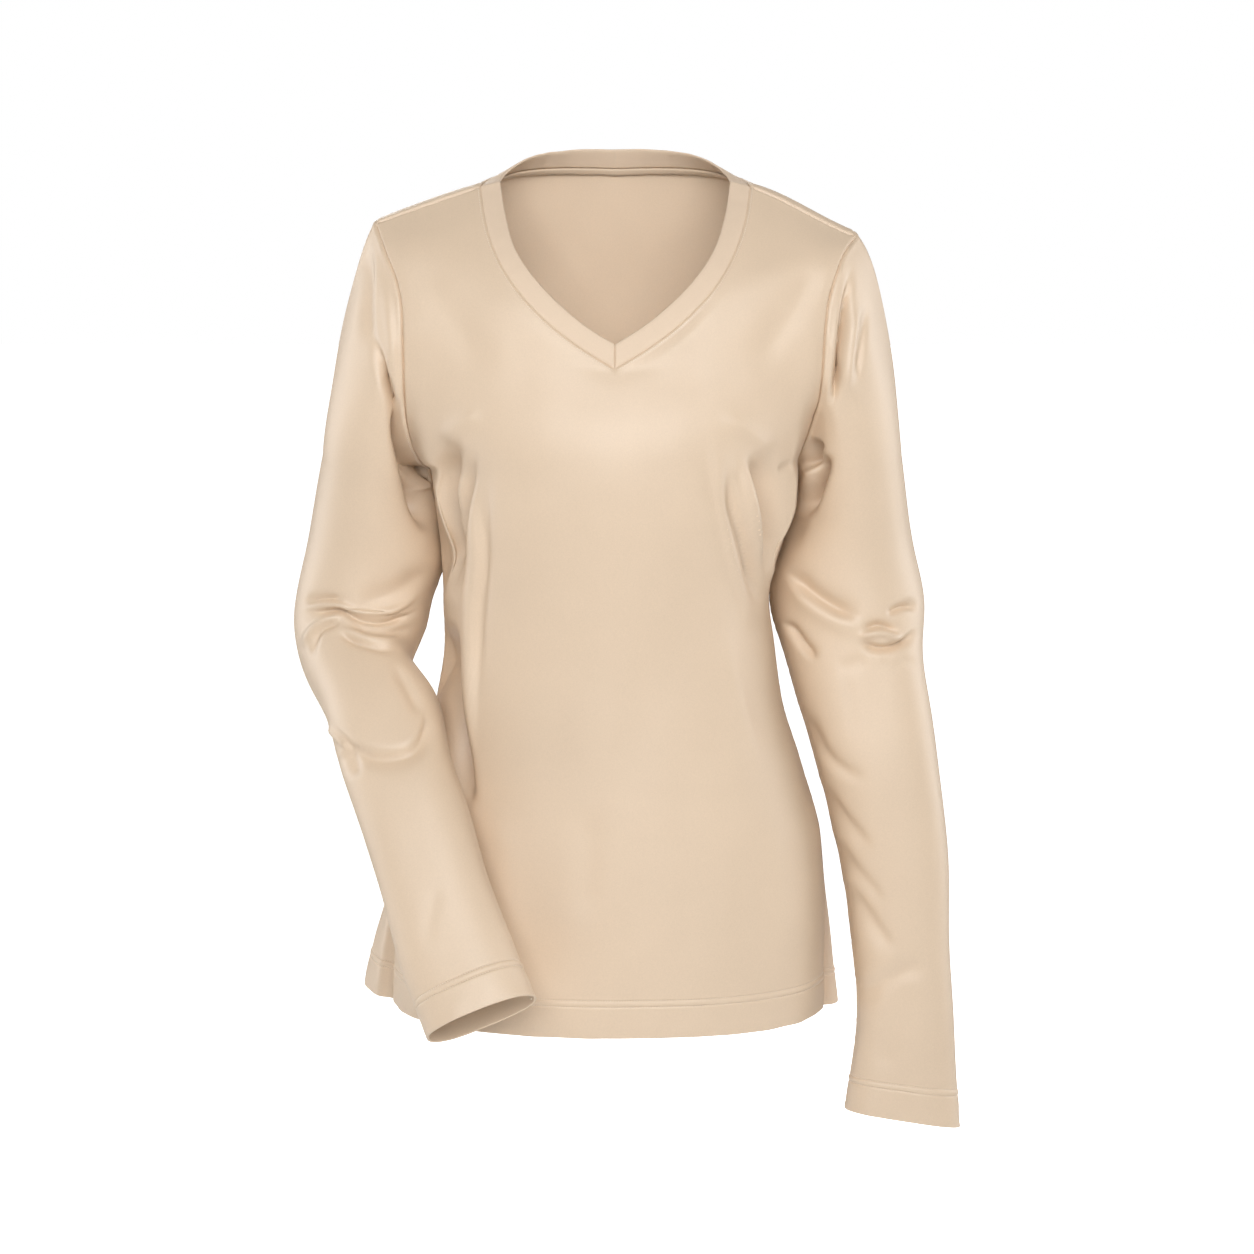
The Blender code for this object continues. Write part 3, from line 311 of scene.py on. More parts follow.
# ---------------------------------------------------------------- curves
def fair(at, values, t):
    """Smooth curve through the table values (natural cubic spline)."""
    at, values, t = (np.asarray(v, float) for v in (at, values, t))
    n, h = len(at), np.diff(at)
    a, b = np.eye(n), np.zeros(n)
    for i in range(1, n - 1):
        a[i, i - 1:i + 2] = h[i - 1], 2 * (h[i - 1] + h[i]), h[i]
        b[i] = 6 * ((values[i + 1] - values[i]) / h[i] - (values[i] - values[i - 1]) / h[i - 1])
    m = np.linalg.solve(a, b)
    i = np.clip(np.searchsorted(at, t, side="right") - 1, 0, n - 2)
    w, p, q = h[i], at[i + 1] - t, t - at[i]
    return ((m[i] * p ** 3 + m[i + 1] * q ** 3) / (6 * w)
            + (values[i] / w - m[i] * w / 6) * p + (values[i + 1] / w - m[i + 1] * w / 6) * q)


def tight(at, values, t):
    """Curve through the table values that never swings past them."""
    at, values, t = (np.asarray(v, float) for v in (at, values, t))
    h = np.diff(at)
    d = np.diff(values) / h
    slope = np.concatenate([[d[0]], (d[:-1] + d[1:]) / 2, [d[-1]]])
    for i in range(1, len(at) - 1):
        low, high = d[i - 1], d[i]
        slope[i] = 0 if low * high <= 0 else 3 * (h[i - 1] + h[i]) / (
            (2 * h[i] + h[i - 1]) / low + (h[i] + 2 * h[i - 1]) / high)
    i = np.clip(np.searchsorted(at, t, side="right") - 1, 0, len(at) - 2)
    return hermite(values[i], values[i + 1], slope[i] * h[i], slope[i + 1] * h[i], (t - at[i]) / h[i])


def fair_points(at, points, t):
    """Smooth curve through points in space."""
    return np.stack([fair(at, points[:, c], t) for c in range(points.shape[1])], -1)


def hermite(p, q, m, n, t):
    return ((2 * t ** 3 - 3 * t ** 2 + 1) * p + (t ** 3 - 2 * t ** 2 + t) * m
            + (3 * t ** 2 - 2 * t ** 3) * q + (t ** 3 - t ** 2) * n)


def bezier(p, q, r, s, t):
    return (1 - t) ** 3 * p + 3 * t * (1 - t) ** 2 * q + 3 * t * t * (1 - t) * r + t ** 3 * s


def unit(v):
    return v / np.maximum(np.linalg.norm(v, axis=-1, keepdims=True), 1e-12)


def smooth(low, high, x):
    t = np.clip((x - low) / (high - low), 0, 1)
    return t * t * (3 - 2 * t)


def bump(x, middle, width):
    return np.exp(-((x - middle) / width) ** 2)


def stack(x, y, z):
    return np.stack(np.broadcast_arrays(x, y, z), -1)


def points_of(columns, names):
    """Points or ways in space from three columns of a table."""
    return np.stack([columns[name] for name in names.split()], -1)


def along(points):
    """The way from each point of a line to the next."""
    return np.gradient(points, axis=0)


def turned(vectors, like):
    """The vectors, turned round where they point away from like."""
    return vectors * np.sign(np.sum(vectors * like, -1, keepdims=True))


def run_length(points):
    """Distance run along a row of points."""
    return np.concatenate([[0], np.cumsum(np.linalg.norm(np.diff(points, axis=0), axis=1))])


def resample(points, at, where):
    """Rows of values read off at new places along a line."""
    return np.stack([np.interp(where, at, points[:, k]) for k in range(points.shape[1])], -1)


def side(columns, name, hand):
    return columns[name + ("_left" if hand == LEFT else "_right")]


def spaced(low, high, step=None, low_seam=None, high_seam=None, count=None):
    """Places from low to high, a step apart or count of them, closer together beside a seam."""
    first = low + low_seam if low_seam is not None else np.array([low])
    last = high - high_seam[::-1] if high_seam is not None else np.array([high])
    count = count or max(2, int(round((last[0] - first[-1]) / step)) + 1)
    return np.concatenate([first[:-1], np.linspace(first[-1], last[0], count), last[1:]])


def waver(x, wavelength, seed):
    """An uneven ripple between about -1 and 1."""
    rng = np.random.default_rng(seed)
    out = 0
    for k in range(6):
        out = out + np.sin(2 * np.pi * x / (wavelength * rng.uniform(0.6, 1.9)) + rng.uniform(0, 6.3))
    return out / 3.2


def undulate(points, wavelength, seed):
    """A soft, uneven swell of the cloth between about -1 and 1."""
    rng = np.random.default_rng(seed)
    out = 0
    for k in range(9):
        way = unit(rng.normal(size=3) * (1, 0.8, 0.45))
        out = out + np.sin(2 * np.pi * (points @ way) / (wavelength * rng.uniform(0.6, 1.7))
                           + rng.uniform(0, 6.3))
    return out / 3.6


# ---------------------------------------------------------------- cut pieces
def body_rows(hand, armhole, inner, arrive, back):
    """Every row's two ends and handles, from the hem to the top row, for one half panel."""
    n = len(BODY["y_seam"])
    zero = np.zeros(n)
    y_mid = BODY["y_back"] if back else BODY["y_front"]
    reach = y_mid - BODY["y_seam"]
    swing = side(BODY, "out", hand) if back else zero
    dip = side(BODY, "dip", hand) if back else zero
    low = (stack(side(BODY, "x", hand), BODY["y_seam"], side(BODY, "z", hand)),
           stack(swing, 0.56 * reach, -dip),
           stack(zero, y_mid, BODY["z_mid"]),
           stack(0.64 * side(BODY, "x", hand), zero, zero))
    high = (stack(side(armhole, "x", hand), armhole["y"], side(armhole, "z", hand)),
            stack(-armhole["hx"], armhole["hy"], armhole["hz"]), inner, arrive)
    rows = [np.concatenate(pair) for pair in zip(low, high)]
    step = np.linalg.norm(np.diff(rows[0], axis=0), axis=1)
    step[n:] = (step[n:] + np.linalg.norm(np.diff(rows[2], axis=0), axis=1)[n:]) / 2
    return np.concatenate([[0], np.cumsum(step)]), rows


def half_panel(hand, at, rows, v, u, v_row=None):
    """Points [row, column] of one half panel, from its outer edge to the middle or the neck."""
    ends = [np.stack([(tight if k == 0 else fair)(at, rows[k][:, c], v) for c in range(3)], -1)
            for k in range(4)]
    if v_row:                    # the neck edge is a curve of its own, from the V up
        neck = v > at[v_row]
        ends[2][neck] = fair_points(at[v_row:], rows[2][v_row:], v[neck])
        ends[2][~neck, 0] = 0
    outer, leave, inner, arrive = (e[:, None, :] for e in ends)
    p = bezier(outer, outer + leave, inner + arrive, inner, u[None, :, None])
    return p * (hand, 1, 1) + (MID_X, 0, 0)


COLUMNS = np.concatenate([spaced(0, SHOULDER_SHARE, 2.1 * MM / PANEL_ACROSS, SEAM_STEPS / PANEL_ACROSS),
                          spaced(SHOULDER_SHARE, 1, 2.8 * MM / PANEL_ACROSS,
                                 high_seam=SEAM_STEPS / PANEL_ACROSS)[1:]])
CORNER = int(np.argmin(abs(COLUMNS - SHOULDER_SHARE)))


def low_rows(armpit):
    """Rows from the hem to the armpit, the same on both panels so that their sides meet."""
    return np.concatenate([HEM_ROWS[:-1], spaced(HEM_ROWS[-1], armpit, count=LOW_ROWS)])


def front_half(hand):
    inner, arrive = points_of(FRONT_NECK, "x y z"), points_of(FRONT_NECK, "kx ky kz")
    at, rows = body_rows(hand, FRONT_ARMHOLE, inner, arrive, back=False)
    n = len(BODY["y_seam"])
    armpit, v_at = at[n], at[n + V_ROW]
    low = low_rows(armpit)
    mid = spaced(armpit, v_at, count=MID_ROWS)[1:]
    top = spaced(v_at, at[-1], high_seam=SEAM_STEPS, count=TOP_ROWS)[1:]
    v = np.concatenate([low, mid, top])
    p = half_panel(hand, at, rows, v, COLUMNS, v_row=n + V_ROW)
    v_row = len(low) + len(mid) - 1
    p[:v_row + 1, -1, 0] = MID_X
    keep = 1 - smooth(v_at + 0.55 * (at[-1] - v_at), at[-1], v)
    return {"p": p, "v": v, "armpit": len(low) - 1, "v_row": v_row, "keep": keep}


def back_half(hand):
    mid_line = stack(0.0, BACK_ARMHOLE["y_mid"], BACK_ARMHOLE["z_mid"])
    arrive = stack(BACK_ARMHOLE["k"], 0.0, 0.0)
    at, rows = body_rows(hand, BACK_ARMHOLE, mid_line, arrive, back=True)
    n = len(BODY["y_seam"])
    low = low_rows(at[n])
    v = np.concatenate([low, spaced(at[n], at[-1], count=BACK_ROWS)[1:]])
    p = half_panel(hand, at, rows, v, COLUMNS)
    before = half_panel(hand, at, rows, v[-1:] - 4 * MM, COLUMNS)[0]
    top = back_top_edge(hand)
    reach = np.linalg.norm(top - p[-1], axis=1, keepdims=True)
    start = unit(p[-1] - before) * reach * 1.05
    turn = np.stack([fair(YOKE["at"] / (1000 * MM), YOKE[m], COLUMNS) for m in ("mx", "my", "mz")], -1)
    turn = turn * (-hand, 1, 1)
    far = float(reach.mean())
    t = spaced(0, 1, high_seam=SEAM_STEPS / far, count=YOKE_ROWS)[1:]
    yoke = hermite(p[-1][None], top[None], start[None], turn[None], t[:, None, None])
    for i, share in enumerate(t[:-6]):
        yoke[i] = ease_row(yoke[i], 0.5 * min((1 - share) * far, 36 * MM), smooth(0, 0.3, share))
    keep = np.concatenate([np.ones(len(v)), 1 - smooth(0.35, 1, t)])
    v = np.concatenate([v, v[-1] + t * far])
    p = np.concatenate([p, yoke])
    p[:, -1, 0] = MID_X
    return {"p": p, "v": v, "armpit": len(low) - 1, "v_row": len(p) - 1, "keep": keep}


def ease_row(row, spread, weight):
    """Even out a row of the yoke from the armhole to the middle of the back."""
    full = np.concatenate([row, (row[-2::-1] - (MID_X, 0, 0)) * (-1, 1, 1) + (MID_X, 0, 0)])
    at = run_length(full)
    share = np.exp(-((at[:len(row), None] - at[None]) / spread) ** 2) * np.gradient(at)[None]
    evened = share @ full / share.sum(1, keepdims=True)
    return row + (evened - row) * (weight * smooth(0, 20 * MM, at[:len(row)]))[:, None]


def back_top_edge(hand):
    """Shoulder seam from the armhole to the neck, then the back neck edge to the middle."""
    arm = FRONT_ARMHOLE
    point = stack(side(arm, "x", hand), arm["y"], side(arm, "z", hand))[-1]
    leave = points_of(arm, "hx hy hz")[-1] * (-1, 1, 1)
    inner, arrive = points_of(FRONT_NECK, "x y z")[-1], points_of(FRONT_NECK, "kx ky kz")[-1]
    t = (COLUMNS[:CORNER + 1] / SHOULDER_SHARE)[:, None]
    seam = bezier(point, point + leave, inner + arrive, inner, t)
    rest = (COLUMNS[CORNER + 1:] - SHOULDER_SHARE) / (1 - SHOULDER_SHARE)
    points = points_of(BACK_NECK, "x y z")
    at = run_length(points)
    fine = fair_points(at / at[-1], points, np.linspace(0, 1, 321))
    at = run_length(fine)
    edge = resample(fine, at / at[-1], rest)
    return np.concatenate([seam, edge]) * (hand, 1, 1) + (MID_X, 0, 0)


def fair_round(at, values, t):
    """Smooth closed curve through values at turns 0, 1/4, 1/2 and 3/4."""
    out = np.mean(values)
    for k, wave, double in ((1, np.cos, 2), (1, np.sin, 2), (2, np.cos, 1)):
        share = np.sum(values * wave(2 * np.pi * k * at)) * double / len(values)
        out = out + share * wave(2 * np.pi * k * t)
    return out


def ring_points(rings, hand, at, turn):
    """Rings of a sleeve at distances along it; turn runs from the outside over the front."""
    outer = stack(rings["x_out"] * hand, rings["y"], rings["z_out"])
    inner = stack(rings["x_in"] * hand, rings["y"], rings["z_in"])
    middle = (outer + inner) / 2
    knots = run_length(middle)
    o, i = fair_points(knots, outer, at), fair_points(knots, inner, at)
    ahead = unit(fair_points(knots, middle, at + 1e-4) - fair_points(knots, middle, at - 1e-4))
    wide = (o - i) / 2
    deep = unit(np.cross(ahead, unit(wide))) * -hand
    deep = deep * -np.sign(deep[:, 1:2])
    depth = fair(knots, rings["depth"], at)[:, None]
    angle = turn[None, :, None] * 2 * np.pi
    power = 2 + 0.5 * smooth(90 * MM, 190 * MM, at)[:, None, None]
    full = (abs(np.cos(angle)) ** power + abs(np.sin(angle)) ** power) ** (-1 / power)
    p = (((o + i) / 2)[:, None] + wide[:, None] * np.cos(angle) * full
         + (deep * depth)[:, None] * np.sin(angle) * full)
    return p, ahead, knots[-1]


def armhole_loop(front, back):
    """Armhole edge from the shoulder over the front to the armpit and back up, with its turns."""
    f = front["p"][front["armpit"]:, 0][::-1]
    b = back["p"][back["armpit"]:, 0][::-1]
    f_at, b_at = run_length(f), run_length(b)
    points = np.concatenate([f, b[::-1][1:]])
    turn = np.concatenate([f_at / f_at[-1] / 2, 1 - b_at[::-1][1:] / b_at[-1] / 2])
    return points, turn


def sleeve_grid(hand, loop, loop_turn):
    """Points [row, column] of a sleeve from the armhole to the cuff."""
    rings = SLEEVES[hand]
    seam = SEAM_STEPS / (300 * MM)
    turn = np.concatenate([spaced(0, 0.5, 1 / FRONT_COLUMNS, high_seam=seam),
                           spaced(0.5, 1, 1 / BACK_COLUMNS, low_seam=seam)[1:-1]])
    length = ring_points(rings, hand, np.array([0.0]), turn)[2]
    tube_at = np.concatenate([spaced(0, ELBOW[0], CLOTH_STEP)[:-1], spaced(*ELBOW, 1.6 * MM)[:-1],
                              spaced(ELBOW[1], length - HEM_ROWS[-1], CLOTH_STEP)[:-1],
                              length - HEM_ROWS[::-1]])
    tube, ahead, _ = ring_points(rings, hand, tube_at, turn)
    edge = resample(loop, loop_turn, turn)
    leave = np.stack([fair_round(CAP["turn"] / (1000 * MM), a, turn)
                      for a in (side(CAP, "m", hand) * hand, CAP["my"], CAP["mz"])], -1)
    reach = np.linalg.norm(tube[0] - edge, axis=1)[:, None]
    arrive = ahead[0][None] * reach * 0.8
    t = spaced(0, 1, 2.6 * MM / (130 * MM), low_seam=SEAM_STEPS / (110 * MM))[:-1, None, None]
    cap = hermite(edge[None], tube[0][None], leave[None], arrive[None], t)
    p = np.concatenate([cap, tube])
    v = np.concatenate([-(1 - t[:, 0, 0]) * 120 * MM, tube_at])
    return {"p": p, "v": v, "turn": turn, "length": length, "leave": leave,
            "seam_column": int(np.argmin(abs(turn - 0.5)))}


# ---------------------------------------------------------------- surfaces
class Cloth:
    """One cut piece: points of its middle surface, quads and what is known at each point."""

    def __init__(self, points, quads, **values):
        used, new = np.unique(quads, return_inverse=True)
        self.quads = new.reshape(quads.shape)
        self.points = points[used]
        self.values = {k: v[used] for k, v in values.items()}

    def normals(self):
        p, q = self.points, self.quads
        face = np.cross(p[q[:, 2]] - p[q[:, 0]], p[q[:, 3]] - p[q[:, 1]])
        out = np.zeros_like(p)
        for k in range(4):
            np.add.at(out, q[:, k], face)
        return unit(out)

    def lift(self, amount):
        self.points = self.points + self.normals() * amount[:, None]


def grid_quads(index, closed=False):
    right = np.roll(index, -1, 1) if closed else index[:, 1:]
    left = index if closed else index[:, :-1]
    return np.stack([left[:-1], right[:-1], right[1:], left[1:]], -1).reshape(-1, 4)


def panel_cloth(halves, front):
    """Both halves of a panel as one cloth, sharing the middle line up to the V."""
    rows, columns = halves[LEFT]["p"].shape[:2]
    left = np.arange(rows * columns).reshape(rows, columns)
    right = left + rows * columns
    joined = halves[LEFT]["v_row"] + 1
    right[:joined, -1] = left[:joined, -1]
    quads = np.concatenate([grid_quads(left), grid_quads(right)[:, ::-1]])
    if not front:
        quads = quads[:, ::-1]
    both = [halves[hand] for hand in (LEFT, RIGHT)]
    v, keep = (np.concatenate([np.repeat(half[k], columns) for half in both]) for k in ("v", "keep"))
    u = np.concatenate([run_length(row) for half in both for row in half["p"]])
    return Cloth(np.concatenate([half["p"].reshape(-1, 3) for half in both]), quads,
                 v=v, u=u, keep=keep, hem=v)


def sleeve_cloth(grid, hand):
    rows, columns = grid["p"].shape[:2]
    index = np.arange(rows * columns).reshape(rows, columns)
    quads = grid_quads(index, closed=True)
    if hand == LEFT:
        quads = quads[:, ::-1]
    v, u = np.repeat(grid["v"], columns), np.tile(grid["turn"] * 0.3, rows)
    return Cloth(grid["p"].reshape(-1, 3), quads, v=v, u=u, hem=grid["length"] - v,
                 keep=smooth(-116 * MM, -94 * MM, v))


def surface_tree(points, quads):
    return BVHTree.FromPolygons(points.tolist(), quads.tolist())


CHEST_X, CHEST_Z = (-0.216, 0.217), (-0.4, 0.049)      # where the panels settle, in metres


def settle(cloth, weight, facing, spread, step=4 * MM):
    """Let the depth of a cloth even out, as far as weight (0 to 1) allows at each point.

    facing is -1 for a cloth seen from the front and 1 for one seen from the back."""
    tree = surface_tree(cloth.points, cloth.quads)
    xs, zs = np.arange(*CHEST_X, step), np.arange(*CHEST_Z, step)
    depth = np.full((len(zs), len(xs)), np.nan)
    for i, z in enumerate(zs):
        for j, x in enumerate(xs):
            hit = tree.ray_cast(Vector((x, facing, z)), Vector((0, -facing, 0)))[0]
            if hit is not None:
                depth[i, j] = hit.y
    known = ~np.isnan(depth)
    soft = [np.exp(-((c[:, None] - c[None]) / spread) ** 2) for c in (zs, xs)]
    evened = soft[0] @ np.where(known, depth, 0) @ soft[1] / np.maximum(soft[0] @ known @ soft[1], 1e-9)
    u = np.clip((cloth.points[:, 0] - xs[0]) / step, 0, len(xs) - 1.001)
    v = np.clip((cloth.points[:, 2] - zs[0]) / step, 0, len(zs) - 1.001)
    i, j = v.astype(int), u.astype(int)
    a, b = v - i, u - j
    at = (evened[i, j] * (1 - a) * (1 - b) + evened[i + 1, j] * a * (1 - b)
          + evened[i, j + 1] * (1 - a) * b + evened[i + 1, j + 1] * a * b)
    cloth.points[:, 1] += weight * (at - cloth.points[:, 1])


def path_points(text):
    """A smooth path through the points of a fold, in metres."""
    knots = np.array([[float(n) for n in pair.split()] for pair in text.split(",")]) * MM
    at = run_length(knots)
    return fair_points(at, knots, np.linspace(0, at[-1], 49))


def nearest(points, line, reach):
    """For the points within reach of a line: which they are, how far off, where along it
    (in steps of the line) and whether they lie to the left of it as seen from the front."""
    close = np.nonzero(np.all((points > line.min(0) - reach) & (points < line.max(0) + reach), axis=1))[0]
    far, place, on_left = np.full(len(close), 9.0), np.zeros(len(close)), np.zeros(len(close), bool)
    start, way = line[:-1], line[1:] - line[:-1]
    size = np.sum(way * way, axis=1)
    for a in range(0, len(close), 1200):
        part = points[close[a:a + 1200]]
        off = part[:, None] - start[None]
        t = np.clip(np.einsum("ijk,jk->ij", off, way) / size, 0, 1)
        d = np.linalg.norm(off - t[..., None] * way[None], axis=-1)
        k = d.argmin(1)
        pick = np.arange(len(k))
        far[a:a + 1200] = d[pick, k]
        place[a:a + 1200] = k + t[pick, k]
        on_left[a:a + 1200] = way[k, 0] * off[pick, k, -1] - way[k, -1] * off[pick, k, 0] > 0
    kept = far < reach
    return close[kept], far[kept], place[kept], on_left[kept]


def fold_lift(points, folds):
    """How far the folds lift each point."""
    xz = points[:, (0, 2)]
    lift = np.zeros(len(xz))
    for fold in folds.strip().splitlines():
        _, *sizes, path = fold.split(None, 4)
        wide_left, wide_right, height = map(float, sizes)
        line = path_points(path)
        index, far, place, on_left = nearest(xz, line, 3.0 * max(wide_left, wide_right) * MM)
        t = place / (len(line) - 1)
        taper = smooth(0, 0.3, t) * (1 if line[-1, 1] < RUNS_OUT else smooth(0, 0.3, 1 - t))
        wide = np.where(on_left, wide_left, wide_right) * MM
        lift[index] += height * MM * taper * np.exp(-(far / wide) ** 2)
    return lift


class Seam:
    """A sewn line: its points and the way that it is drawn in below the cloth."""

    def __init__(self, points, facing, depth, soft_start=True, soft_end=True, seed=1, topstitched=False):
        at = run_length(points)
        count = int(at[-1] / (1.5 * MM)) + 2
        where = np.linspace(0, at[-1], count)
        self.at = where
        self.points = resample(points, at, where)
        self.facing = unit(resample(facing, at, where))
        self.seed, self.topstitched = seed, topstitched
        taper = np.ones(count)
        if soft_start:
            taper = taper * smooth(0, 7 * MM, where)
        if soft_end:
            taper = taper * smooth(0, 7 * MM, at[-1] - where)
        self.taper = taper
        self.draw = -self.facing * (depth * taper * (1 + 0.25 * waver(where, 14 * MM, seed)))[:, None]

    def near(self, points, limit=0.03):
        """Distance of each point from the seam and its place along it, for points close by."""
        index, far, place, _ = nearest(points, self.points, limit)
        return index, far, place * (self.at[1] - self.at[0])


def draw_seams(cloth, seams):
    """Pull a cloth in along its seams, with the welt and the small puckers beside them.

    seams is a list of (seam, height of the welt)."""
    start = cloth.points.copy()
    facing = cloth.normals()
    edge = np.full(len(start), 1.0)
    for seam, welt in seams:
        index, far, place = seam.near(start)
        pull = resample(seam.draw, seam.at, place)
        taper = np.interp(place, seam.at, seam.taper)
        cloth.points[index] += pull * np.exp(-(far / (1.1 * MM)) ** 2)[:, None]
        pucker = 0.20 * MM * waver(place, 10 * MM, seam.seed + 7) * np.exp(-far / (6 * MM))
        pucker = pucker * smooth(0, 1.5 * MM, far)
        rise = welt * bump(far, 2.4 * MM, 1.5 * MM) + pucker
        if seam.topstitched:
            rise = rise - 0.28 * MM * bump(far, 1.95 * MM, 0.5 * MM)
        cloth.points[index] += facing[index] * (rise * taper)[:, None]
        edge[index] = np.minimum(edge[index], far)
    cloth.values["edge"] = edge


inner_faces = {}             # for each cut piece, which faces are the inside of the knit


def shell(name, cloth):
    """A closed thin skin: the cloth's face and back, its hem turned up and rounded at the fold."""
    h = cloth.values["hem"]
    band = 1 - smooth(STITCH_ROWS[1], STITCH_ROWS[1] + 2 * MM, h)
    press = sum(bump(h, row, 0.75 * MM) for row in STITCH_ROWS)
    ridge = bump(h, sum(STITCH_ROWS) / 2, 1.7 * MM)
    wave = undulate(cloth.points, 30 * MM, 5) * 0.6 * MM * (1 - smooth(0, 30 * MM, h))
    cloth.lift(band * 0.3 * MM - press * 0.75 * MM + ridge * 0.4 * MM + wave)
    n = cloth.normals()
    rounding = np.sqrt(1 - (1 - np.clip(h / (0.8 * MM), 0.01, 1)) ** 2)
    by_seam = 1 - 0.8 * np.exp(-(cloth.values["edge"] / (1.0 * MM)) ** 2)
    doubled = 0.75 * MM * (1 - smooth(STITCH_ROWS[1] + 0.4 * MM, STITCH_ROWS[1] + 1.0 * MM, h))
    outer = cloth.points + n * (OUTSIDE * rounding * by_seam)[:, None]
    inner = cloth.points - n * ((INSIDE + doubled) * rounding * by_seam)[:, None]
    count, q = len(outer), cloth.quads
    sides = np.concatenate([q[:, [0, 1]], q[:, [1, 2]], q[:, [2, 3]], q[:, [3, 0]]])
    rim = sides[~np.isin(sides[:, 0] * count + sides[:, 1], sides[:, 1] * count + sides[:, 0])]
    rim = np.stack([rim[:, 1], rim[:, 0], rim[:, 0] + count, rim[:, 1] + count], -1)
    grain = np.stack([cloth.values["u"], cloth.values["v"], cloth.values["u"] * 0], -1)
    cloth.outer, cloth.inner, cloth.face_normals = outer, inner, n
    inner_faces[name] = np.repeat([0, 1, 0], [len(q), len(q), len(rim)]).astype(np.int32)
    return make_mesh(name, np.concatenate([outer, inner]),
                     [np.concatenate([q, q[:, ::-1] + count, rim])], np.concatenate([grain, grain]))


def show(name, data):
    """A new object in the scene for a mesh, lamp or camera."""
    thing = bpy.data.objects.new(name, data)
    bpy.context.scene.collection.objects.link(thing)
    return thing


def make_mesh(name, points, face_sets, grain=None):
    """A mesh object from points and arrays of faces with 3, 4 or more corners."""
    mesh = bpy.data.meshes.new(name)
    corners = np.concatenate([f.ravel() for f in face_sets])
    sizes = np.concatenate([np.full(len(f), f.shape[1]) for f in face_sets])
    mesh.vertices.add(len(points))
    mesh.vertices.foreach_set("co", points.astype(np.float32).ravel())
    mesh.loops.add(len(corners))
    mesh.loops.foreach_set("vertex_index", corners.astype(np.int32))
    mesh.polygons.add(len(sizes))
    mesh.polygons.foreach_set("loop_start", np.concatenate([[0], np.cumsum(sizes)[:-1]]).astype(np.int32))
    mesh.polygons.foreach_set("use_smooth", np.ones(len(sizes), bool))
    if grain is not None:
        layer = mesh.attributes.new("grain", "FLOAT_VECTOR", "POINT")
        layer.data.foreach_set("vector", grain.astype(np.float32).ravel())
    mesh.update(calc_edges=True)
    mesh.validate()
    return show(name, mesh)


# ---------------------------------------------------------------- sewing
AROUND = np.linspace(0, 2 * np.pi, 6, endpoint=False)      # the six sides of a thread


def round_about(aside, up):
    """The ways out to the six sides of a thread."""
    return aside[..., None, :] * np.cos(AROUND)[:, None] + up[..., None, :] * np.sin(AROUND)[:, None]


def stitches(lines, pitch, length, radius):
    """Points and faces of a row of short stitches; lines is a list of (points, facing)."""
    starts, ends, ups = [], [], []
    for points, facing in lines:
        at = run_length(points)
        first = np.arange(0.4 * pitch, at[-1] - length, pitch)
        starts.append(resample(points, at, first))
        ends.append(resample(points, at, first + length))
        ups.append(unit(resample(facing, at, first + length / 2)))
    a, b, up = (np.concatenate(x) for x in (starts, ends, ups))
    aside = unit(np.cross(b - a, up))
    up = unit(np.cross(aside, b - a))
    t = np.array([0, 0.14, 0.5, 0.86, 1])[None, :, None]
    rise = (np.array([-0.6, 0.35, 0.75, 0.35, -0.6]) * radius)[None, :, None]
    fat = (np.array([0.4, 0.85, 1, 0.85, 0.4]) * radius)[None, :, None, None]
    middle = a[:, None] + (b - a)[:, None] * t + up[:, None] * rise
    return tubes(middle[:, :, None] + round_about(aside, up)[:, None] * fat)


def tubes(p):
    """Points and faces of many tubes; p is [tube, ring, side, xyz]."""
    count, rings, sides = p.shape[:3]
    index = np.arange(count * rings * sides).reshape(count, rings, sides)
    turn = np.roll(index, -1, 2)
    quads = np.stack([index[:, :-1], turn[:, :-1], turn[:, 1:], index[:, 1:]], -1).reshape(-1, 4)
    caps = np.concatenate([index[:, 0][:, ::-1], index[:, -1]])
    return p.reshape(-1, 3), quads, caps


def cords(middles, up, radius):
    """Thin threads of several points each; middles and up are [thread, point, xyz]."""
    way = unit(np.gradient(middles, axis=1))
    aside = unit(np.cross(way, up))
    over = np.cross(aside, way)
    return tubes(middles[:, :, None] + round_about(aside, over) * radius)


def sewn(name, parts):
    """One object from several sets of points, quads and caps."""
    points, quads, caps = zip(*parts)
    before = np.cumsum([0] + [len(p) for p in points])
    faces = [np.concatenate([f + count for f, count in zip(kind, before)]) for kind in (quads, caps)]
    return make_mesh(name, np.concatenate(points), faces)


def loopers(row, gap, pitch, radius):
    """The threads that zigzag between two needle lines on the back of a coverstitch."""
    points, facing, across = row
    at = run_length(points)
    first = np.arange(0, at[-1] - pitch, pitch)
    hops = []
    for share, reach in ((0, -0.5), (0.25, 0), (0.5, 0.5), (0.75, 0), (1, -0.5)):
        where = first + share * pitch
        hops.append(resample(points, at, where) + resample(across, at, where) * gap * reach
                    + resample(facing, at, where) * radius * 0.6)
    return cords(np.stack(hops, 1), np.repeat(resample(facing, at, first)[:, None], 5, 1), radius)


